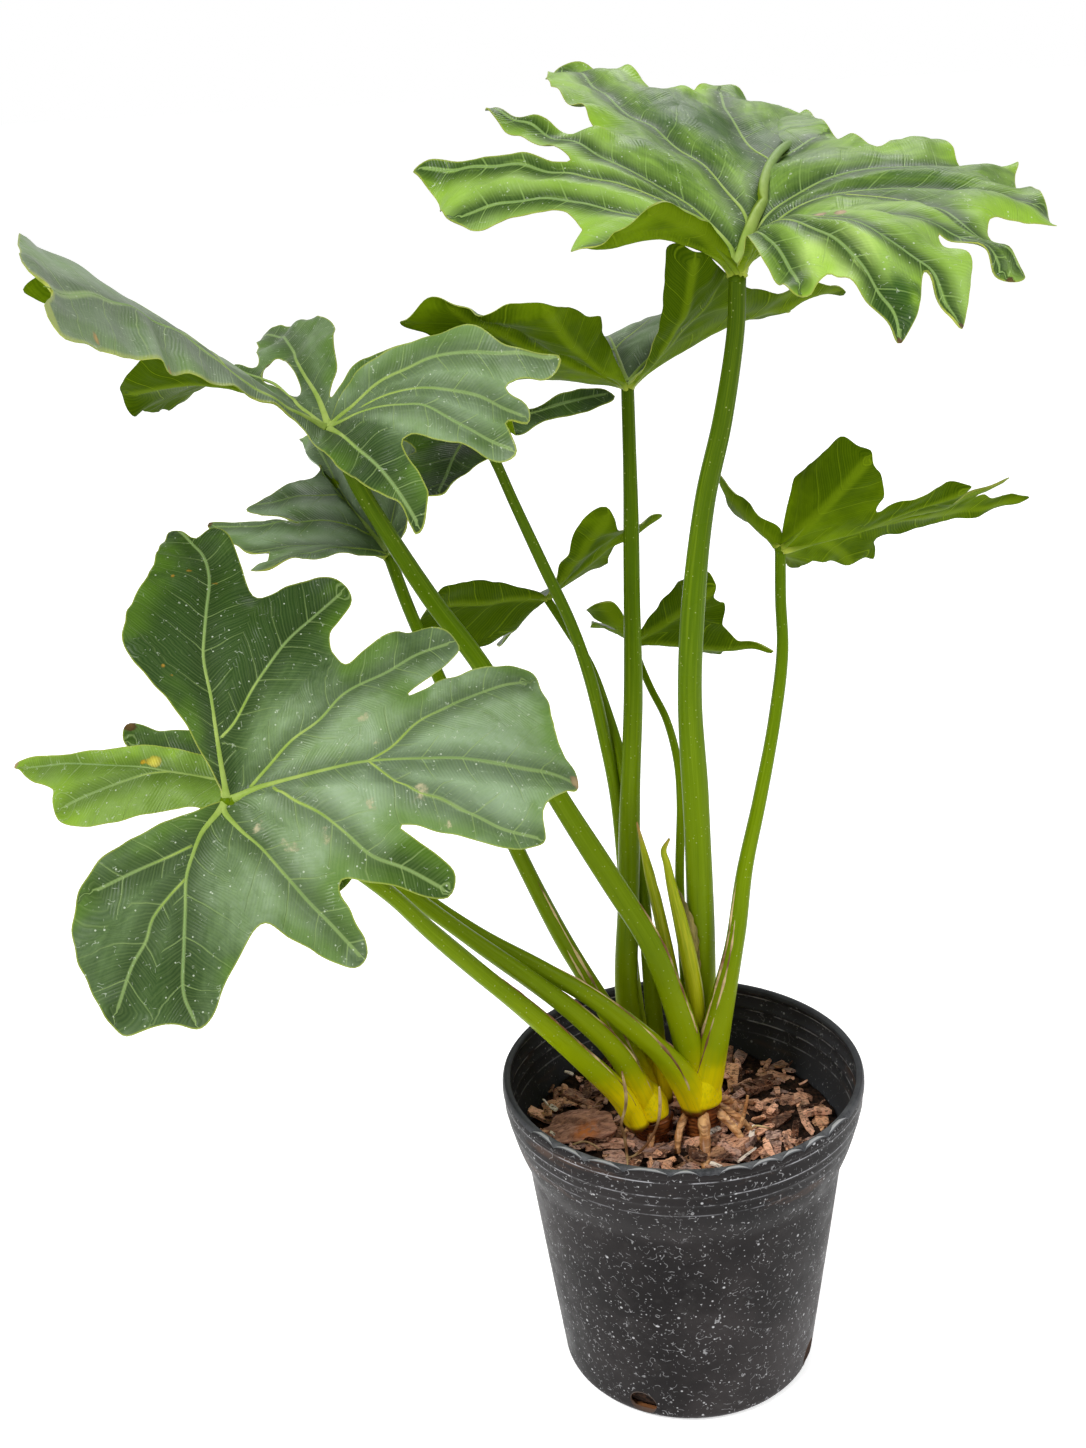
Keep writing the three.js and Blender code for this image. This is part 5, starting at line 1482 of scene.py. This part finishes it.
def relief(leaf, number, flat, margin, nearest, step):
    from_hub = np.hypot(flat[:, 0], flat[:, 1])
    high, wide = leaf.get("folds", (1.5, 8))
    rise = high * (1 - np.exp(-((nearest / wide) ** 2))) * np.clip(margin / 25, 0.35, 1)
    quilt = -np.abs(np.cos(np.pi * step / 24)) ** 6 * np.clip(nearest / 9, 0, 1) * 0.8
    ruffle, length = leaf.get("ruffle", (2.0, 34))
    wave = ruffle * np.exp(-margin / 14) * np.clip(from_hub / 60, 0, 1) * ripple(flat, length, number + 7)
    sway = 1.3 * ripple(flat, 70, number + 3) * np.clip(from_hub / 90, 0, 1)
    folds = rise + quilt + wave + sway + patches(flat, leaf.get("swells", ()))
    if "keel" not in leaf:
        return folds
    off_midrib = to_path(leaf["courses"][0][1], flat)[2]
    keel = leaf["keel"] * np.exp(-((off_midrib / 14) ** 2)) * np.clip(from_hub / 40, 0, 1)
    return folds * (1 - np.exp(-((off_midrib / 26) ** 2))) + keel


leaves["01"].update({
    "keel": 5.5, "folds": (6.0, 14), "ruffle": (5.2, 38),
    "swells": [(-140, 48, 26, 9), (-128, 100, 22, 5), (1, 196, 30, 5)],
})
leaves["03"].update({"folds": (2.0, 10), "ruffle": (3.0, 38), "swells": [(130, 75, 45, 6)]})
leaves["05"].update({"folds": (2.2, 10), "ruffle": (3.0, 36)})
# Patches of painted light and shade on the upper faces: painted highlights where positive, painted shade
# where negative.
painted_top_light_and_shade = {
    "01": [(-140, 112, 24, 1.5), (-133, 151, 24, -1.3), (-112, 120, 18, -0.5), (26, 157, 45, -0.4),
           (-54, 139, 34, -0.3), (54, 112, 40, -0.25), (8, 130, 25, -0.3), (160, 60, 22, -0.4),
           (-118, 60, 16, 0.5), (-98, 150, 16, -0.5), (86, 150, 30, -0.15)],
    "02": [(174, 49, 40, 1.6)],
    "03": [(130, 88, 35, 0.4), (124, 127, 30, 0.6)],
    "04": [(40, 60, 50, 1.3), (-10, 90, 50, 1.0)],
    "05": [(-2, 145, 60, 0.95), (16, 90, 45, 0.5), (56, 50, 24, 0.3), (-50, 70, 42, 0.35),
           (-20, 118, 18, -1.3), (-26, 128, 20, -1.0), (74, 115, 30, -0.15), (-100, 115, 30, -0.2)],
}
# Patches of painted light and shade on the lower faces: painted shade where negative, painted light where
# positive.
painted_underside_light_and_shade = {
    "02": [(-140, 121, 60, -1.6)], "03": [(-40, 150, 90, -0.8)], "08": [(118, 61, 50, -0.8)],
    "09": [(-152, 64, 45, 1.2)], "10": [(-6, 103, 50, -0.8)], "11": [(-124, 64, 60, -0.9)],
}

# %% [markdown]
# A blade is put together from all this. Each point learns its distance from the edge and its place
# by the nearest vein, which guides the side veins: slant is how far they run forward as they leave
# it. The relief is added along the normal, and the thin sheet gets its body from Solidify, thick at
# the veins and thin at the margin. A ball covers the point where the veins meet.

# %% Build a blade
slant = 0.7


def build_blade(name, finishes, marks=(), hole=None):
    spacing = 2.9
    leaf = leaves[name]
    leaf["neck"] = stalks[name]["taper"][-1][1]
    corners = [[0, 0]] + [flat_point(*row) for row in leaf["outline"]] + [[0, 0]]
    loop = through(corners, spacing)[:-1]
    number = int(name)
    nick = 0.5 * np.column_stack([ripple(loop, 23, number), ripple(loop, 23, number + 40)])
    loop[1:] += nick[1:] * np.clip(np.hypot(loop[1:, 0], loop[1:, 1]) / 30, 0, 1)[:, None]
    holes = [] if hole is None else [through([flat_point(*row) for row in hole + hole[:1]], 2.2)[:-1]]
    flat, faces = fill(loop, spacing, holes)
    a, b, c = (flat[faces[:, k]] for k in range(3))
    wrong = (b[:, 0] - a[:, 0]) * (c[:, 1] - a[:, 1]) - (b[:, 1] - a[:, 1]) * (c[:, 0] - a[:, 0]) < 0
    faces[wrong] = faces[wrong][:, ::-1]

    rings = [np.vstack([ring, ring[:1]]) for ring in (loop, *holes)]
    margin = np.minimum.reduce([to_path(ring, flat)[2] for ring in rings])
    found = [to_path(path, flat) for _, path in leaf["courses"]]
    along, across, near = (np.array([row[k] for row in found]) for k in range(3))
    nearest = near.min(axis=0)
    step = along[near.argmin(axis=0), np.arange(len(flat))] - slant * nearest
    height = relief(leaf, number, flat, margin, nearest, step)
    spots = on_leaf(leaf, flat) + leaf_normals(leaf, flat) * height[:, None]

    mesh = bpy.data.meshes.new(f"blade_{name}_skin")
    mesh.from_pydata((spots * 0.001).tolist(), [], faces.tolist())
    blade = bpy.data.objects.new(f"blade_{name}_leaf", mesh)
    bpy.context.scene.collection.objects.link(blade)
    corner_spots = faces.ravel()
    owner = near[:, faces].mean(axis=2).argmin(axis=0).repeat(3)
    layer = mesh.uv_layers.new(name="vein")
    pairs = np.column_stack([along[owner, corner_spots], across[owner, corner_spots]]) / 100
    layer.data.foreach_set("uv", pairs.ravel())
    # Tone by bearing is partly the blade's own colour and partly painted light and shade; the patches add
    # more painted light and shade.
    tones = np.array(leaf["tone"])
    tone = np.interp(np.degrees(np.arctan2(flat[:, 1], flat[:, 0])), tones[:, 0], tones[:, 1])
    tone += patches(flat, painted_top_light_and_shade.get(name, ()))
    note(mesh, "tone", tone)
    note(mesh, "edge", margin / 10)
    # The painted light and shade of the lower face.
    note(mesh, "below", patches(flat, painted_underside_light_and_shade.get(name, ())))
    paint = np.zeros((len(flat), 4))
    for bearing, distance, size, shade in marks:
        off = np.hypot(*(flat - flat_point(bearing, distance)).T)
        share = np.clip(1.25 - off / size, 0, 1)[:, None]
        paint = paint * (1 - share) + np.array([*shade, 1.0][:4]) * share
    mesh.attributes.new("mark", "FLOAT_COLOR", "POINT").data.foreach_set("color", paint.ravel())
    thick = blade.vertex_groups.new(name="thick")
    body = 0.42 + 0.58 * np.exp(-((nearest / 5) ** 2)) - 0.22 * np.exp(-margin / 3)
    for index, share in enumerate(body):
        thick.add([index], float(share), "REPLACE")
    for finish in finishes:
        mesh.materials.append(finish)
    apply_modifier(blade, "SOLIDIFY", thickness=0.0021, offset=-1, vertex_group="thick",
                   material_offset=1, material_offset_rim=2)
    select_only(blade)
    bpy.ops.object.shade_smooth_by_angle(angle=math.radians(50))
    ribs = []
    for wide, path in leaf["courses"]:
        to_edge = np.minimum.reduce([to_path(ring, path)[2] for ring in rings])
        still = np.zeros(len(path))
        ribs.append(rib(leaf, wide, path, relief(leaf, number, path, to_edge, still, still + 12)))
        dress(ribs[-1], finishes[3])
    ribs.append(hub(leaf, leaf["neck"] * 1.06))
    dress(ribs[-1], stalk_skin)
    return join([blade] + ribs, f"blade_{name}_leaf")


# %% [markdown]
# The upper face is deep green with a grey-green bloom that is partly dust and partly painted sheen.
# Beside the main veins it has painted shade, and streaks of painted fold shading run along them. The
# side veins run slanted out from each main vein with fine ones between, and a thin yellow-green line
# marks the margin. The lower face is a vivid olive green with paler veins.

# %% Finish the leaves
def side_veins():
    where = object_place()
    parts = node("SeparateXYZ", {0: uv("vein")}).outputs
    off = calc("ABSOLUTE", parts[1])
    drift = times(noise(where, 24, 2), 0.11)
    step = plus(calc("SUBTRACT", parts[0], times(off, slant)), drift)
    large = span(calc("PINGPONG", step, 0.12), 0.0015, 0.008, 1, 0)
    middle = span(calc("PINGPONG", step, 0.03), 0.0, 0.005, 1, 0)
    fine = span(calc("PINGPONG", step, 0.011), 0.0, 0.011)
    return where, off, large, middle, fine


def leaf_top(name, deep, light, dust_and_sheen, fresh, painted_highlight, pale=(0.26, 0.37, 0.12), painted_fold_shade_strength=0.6, dust_and_sheen_strength=1):
    finish = new_finish(name, 0.36, 0.4, 1.27)
    where, off, large, middle, fine = side_veins()
    # Tone carries painted light and shade as well as the blade's own lightness.
    tone = attribute("tone")
    edge = attribute("edge")
    cloud = noise(where, 15, 3, 0.55)
    flow = stretch(uv("vein"), (4, 24, 1))
    streaks = noise(flow, 1, 4, 0.6)
    # Streaks along the veins: painted fold shading, lighter and darker.
    painted_fold_shading = calc("MULTIPLY_ADD", streaks, painted_fold_shade_strength, -0.5 - 0.5 * painted_fold_shade_strength)
    share = plus(tone, plus(cloud, painted_fold_shading))
    colour = tint(span(share, 0.0, 1.0), deep, light)
    haze = noise(where, 30, 6, 0.7)
    speckle = noise(where, 170, 4, 0.7)
    # Grey-green bloom: partly dust, partly painted sheen, strongest where the tone is light.
    dust_and_sheen_share = times(span(haze, 0.3, 0.66, 0.25, 0.8), span(tone, 0.1, 0.75))
    dust_and_sheen_share = times(dust_and_sheen_share, span(speckle, 0.36, 0.62, 0.68, 1))
    colour = tint(times(dust_and_sheen_share, dust_and_sheen_strength), colour, dust_and_sheen)
    # Painted highlight where painted light pushes the share past full.
    colour = tint(span(share, 1.05, 1.8, 0, 0.75), colour, painted_highlight)
    rubbed = times(span(noise(where, 75, 4, 0.65), 0.5, 0.66, 0, 0.5), dust_and_sheen_share)
    colour = tint(rubbed, colour, light)
    young = times(span(edge, 0.3, 2.2, 0.65, 0), span(noise(where, 20, 3), 0.44, 0.58))
    colour = tint(young, colour, fresh)
    # Painted shade in the valleys beside the main veins.
    painted_valley_shade = times(span(off, 0.015, 0.15, painted_fold_shade_strength, 0), span(streaks, 0.2, 0.5, 0.4, 1))
    colour = tint(painted_valley_shade, colour, [0.6 * part for part in deep])
    colour = tint(times(fine, 0.07), colour, pale)
    colour = tint(times(middle, 0.1), colour, pale)
    colour = tint(times(large, span(off, 0.0, 0.34, 0.4, 0.06)), colour, pale)
    colour = tint(span(off, 0.004, 0.014, 0.6, 0), colour, pale)
    colour = tint(span(edge, 0.02, 0.11, 0.7, 0), colour, (0.3, 0.36, 0.05))
    fleck = most(dots(where, 200, 0.09, 0.15, 0.34),
                 times(curls(where, 120, 0.014, 0.58), 0.7))
    colour = tint(times(fleck, 0.7), colour, (0.55, 0.62, 0.48))
    ragged = plus(attribute("mark", "Alpha"), calc("MULTIPLY_ADD", noise(where, 160, 4, 0.65), 0.9, -0.45))
    colour = tint(span(ragged, 0.42, 0.62, 0, 0.9), colour, attribute("mark", "Color"))
    colour_with(colour, span(haze, 0.3, 0.7, 0.3, 0.5))
    dents = plus(times(large, -0.8), times(fine, 0.3))
    bump(plus(dents, times(haze, 1.6)), 0.6, 0.6)
    return finish


def leaf_under(name, deep, light, pale):
    finish = new_finish(name, 0.45, 0.4, 1.05)
    where, off, large, middle, fine = side_veins()
    cloud = noise(where, 22, 4, 0.6)
    # The below attribute carries the painted light and shade of the lower face.
    share = calc("MULTIPLY_ADD", attribute("below"), 0.4, cloud)
    colour = tint(span(share, 0.3, 0.9), deep, light)
    colour = tint(times(fine, 0.2), colour, pale)
    colour = tint(times(middle, 0.2), colour, pale)
    colour = tint(times(large, 0.7), colour, pale)
    colour = tint(span(off, 0.01, 0.06, 0.6, 0), colour, pale)
    colour_with(colour, span(cloud, 0.3, 0.7, 0.4, 0.55))
    bump(plus(large, times(fine, 0.25)), 0.5, 0.6)
    return finish


def plain_skin(name, dark, bright, rough):
    finish = new_finish(name, rough, 0.45)
    where = object_place()
    blend = noise(where, 60, 4, 0.6)
    colour_with(tint(span(blend, 0.3, 0.7), dark, bright))
    bump(blend, 0.25, 0.3)
    return finish


def rib_finish():
    """Pale green above and olive below: the way round the rib tells which side a point is on."""
    finish = new_finish("main_veins", 0.42, 0.4, 1.2)
    blend = span(noise(object_place(), 60, 4, 0.6), 0.3, 0.7)
    above = tint(blend, (0.22, 0.33, 0.05), (0.32, 0.42, 0.1))
    below = tint(blend, (0.09, 0.15, 0.002), (0.14, 0.21, 0.004))
    route = node("SeparateXYZ", {0: uv("route")}).outputs
    above = tint(span(route[1], 0.12, 0.75, 0, 0.85), above, (0.16, 0.26, 0.1))
    below = tint(span(route[1], 0.02, 0.12, 0.85, 0), below, (0.36, 0.42, 0.05))
    colour_with(tint(span(route[0], 0.49, 0.53), above, below))
    bump(blend, 0.25, 0.3)
    return finish


olive = leaf_under("olive_leaf_underside", (0.036, 0.07, 0.0006), (0.14, 0.225, 0.002), (0.13, 0.2, 0.004))
margin_skin = plain_skin("pale_leaf_margin", (0.17, 0.23, 0.02), (0.34, 0.38, 0.05), 0.5)
rib_skin = rib_finish()
green_top = leaf_top("grey_green_leaf_top", (0.024, 0.056, 0.01), (0.145, 0.24, 0.075), (0.26, 0.35, 0.22),
                     (0.08, 0.17, 0.01), (0.27, 0.37, 0.23))
bright_top = leaf_top("bright_leaf_top", (0.028, 0.078, 0.008), (0.23, 0.4, 0.04), (0.3, 0.43, 0.14),
                      (0.26, 0.46, 0.02), (0.48, 0.68, 0.17), (0.3, 0.46, 0.12), 0.95, 0.6)
fresh_top = leaf_top("fresh_leaf_top", (0.06, 0.13, 0.008), (0.17, 0.3, 0.02), (0.22, 0.34, 0.08),
                     (0.24, 0.42, 0.012), (0.3, 0.45, 0.06))
print("leaf finishes:", [finish.name for finish in (green_top, bright_top, fresh_top, olive)])

# %% Build all blades
tan, brown, rust, amber = (0.42, 0.3, 0.16), (0.12, 0.06, 0.02), (0.4, 0.24, 0.03), (0.5, 0.3, 0.01)
scuff, scar = (0.44, 0.4, 0.24, 0.5), (0.5, 0.34, 0.22)
marks = {
    "05": [(2, 207, 5, tan), (0, 6, 8, scuff), (-50, 26, 9, scuff), (-42, 46, 11, scuff),
           (-26, 62, 10, scuff), (-8, 84, 9, scuff), (-2, 112, 12, scuff), (-10, 130, 8, scuff),
           (30, 92, 10, scuff), (18, 92, 8, scuff), (125, 88, 2, rust), (124, 81, 2, rust),
           (103, 152, 2.2, rust), (98, 139, 2, rust), (107, 150, 2, rust)],
    "06": [(-4, 89, 6, (0.62, 0.55, 0.05)), (-3, 96, 3, amber), (-1, 201, 5, tan)],
    "01": [(-118, 45, 5, scar), (-116, 56, 5, scar), (-114, 68, 5, scar), (-112, 80, 5, scar),
           (-118, 181, 5, brown), (-98, 179, 4, brown), (-135, 169, 4, brown)],
    "03": [(4, 205, 2.5, rust), (2, 236, 3, tan), (-12, 204, 2.5, brown), (-17, 213, 3, brown),
           (-18, 180, 2, tan), (-36, 110, 5, amber), (-40, 125, 6, amber), (-44, 150, 5, amber),
           (-38, 140, 3, rust), (-74, 200, 3, rust), (-80, 100, 3, brown), (-70, 60, 3, brown),
           (-84, 74, 2.5, brown), (6, 150, 2, rust)],
    "04": [(-2, 151, 5, brown), (57, 123, 4, brown)],
    "07": [(-15, 126, 7, brown)],
}
tops = {"01": bright_top, "06": fresh_top}
torn = [(-78, 98), (-84, 102), (-85, 80), (-84, 61), (-76, 49), (-68, 65), (-71, 84)]
for name in leaves:
    finishes = [tops.get(name, green_top), olive, margin_skin, rib_skin]
    blade = build_blade(name, finishes, marks.get(name, ()), hole=torn if name == "03" else None)
    keep(blade, "leaf_blade", f"blade_{name}")
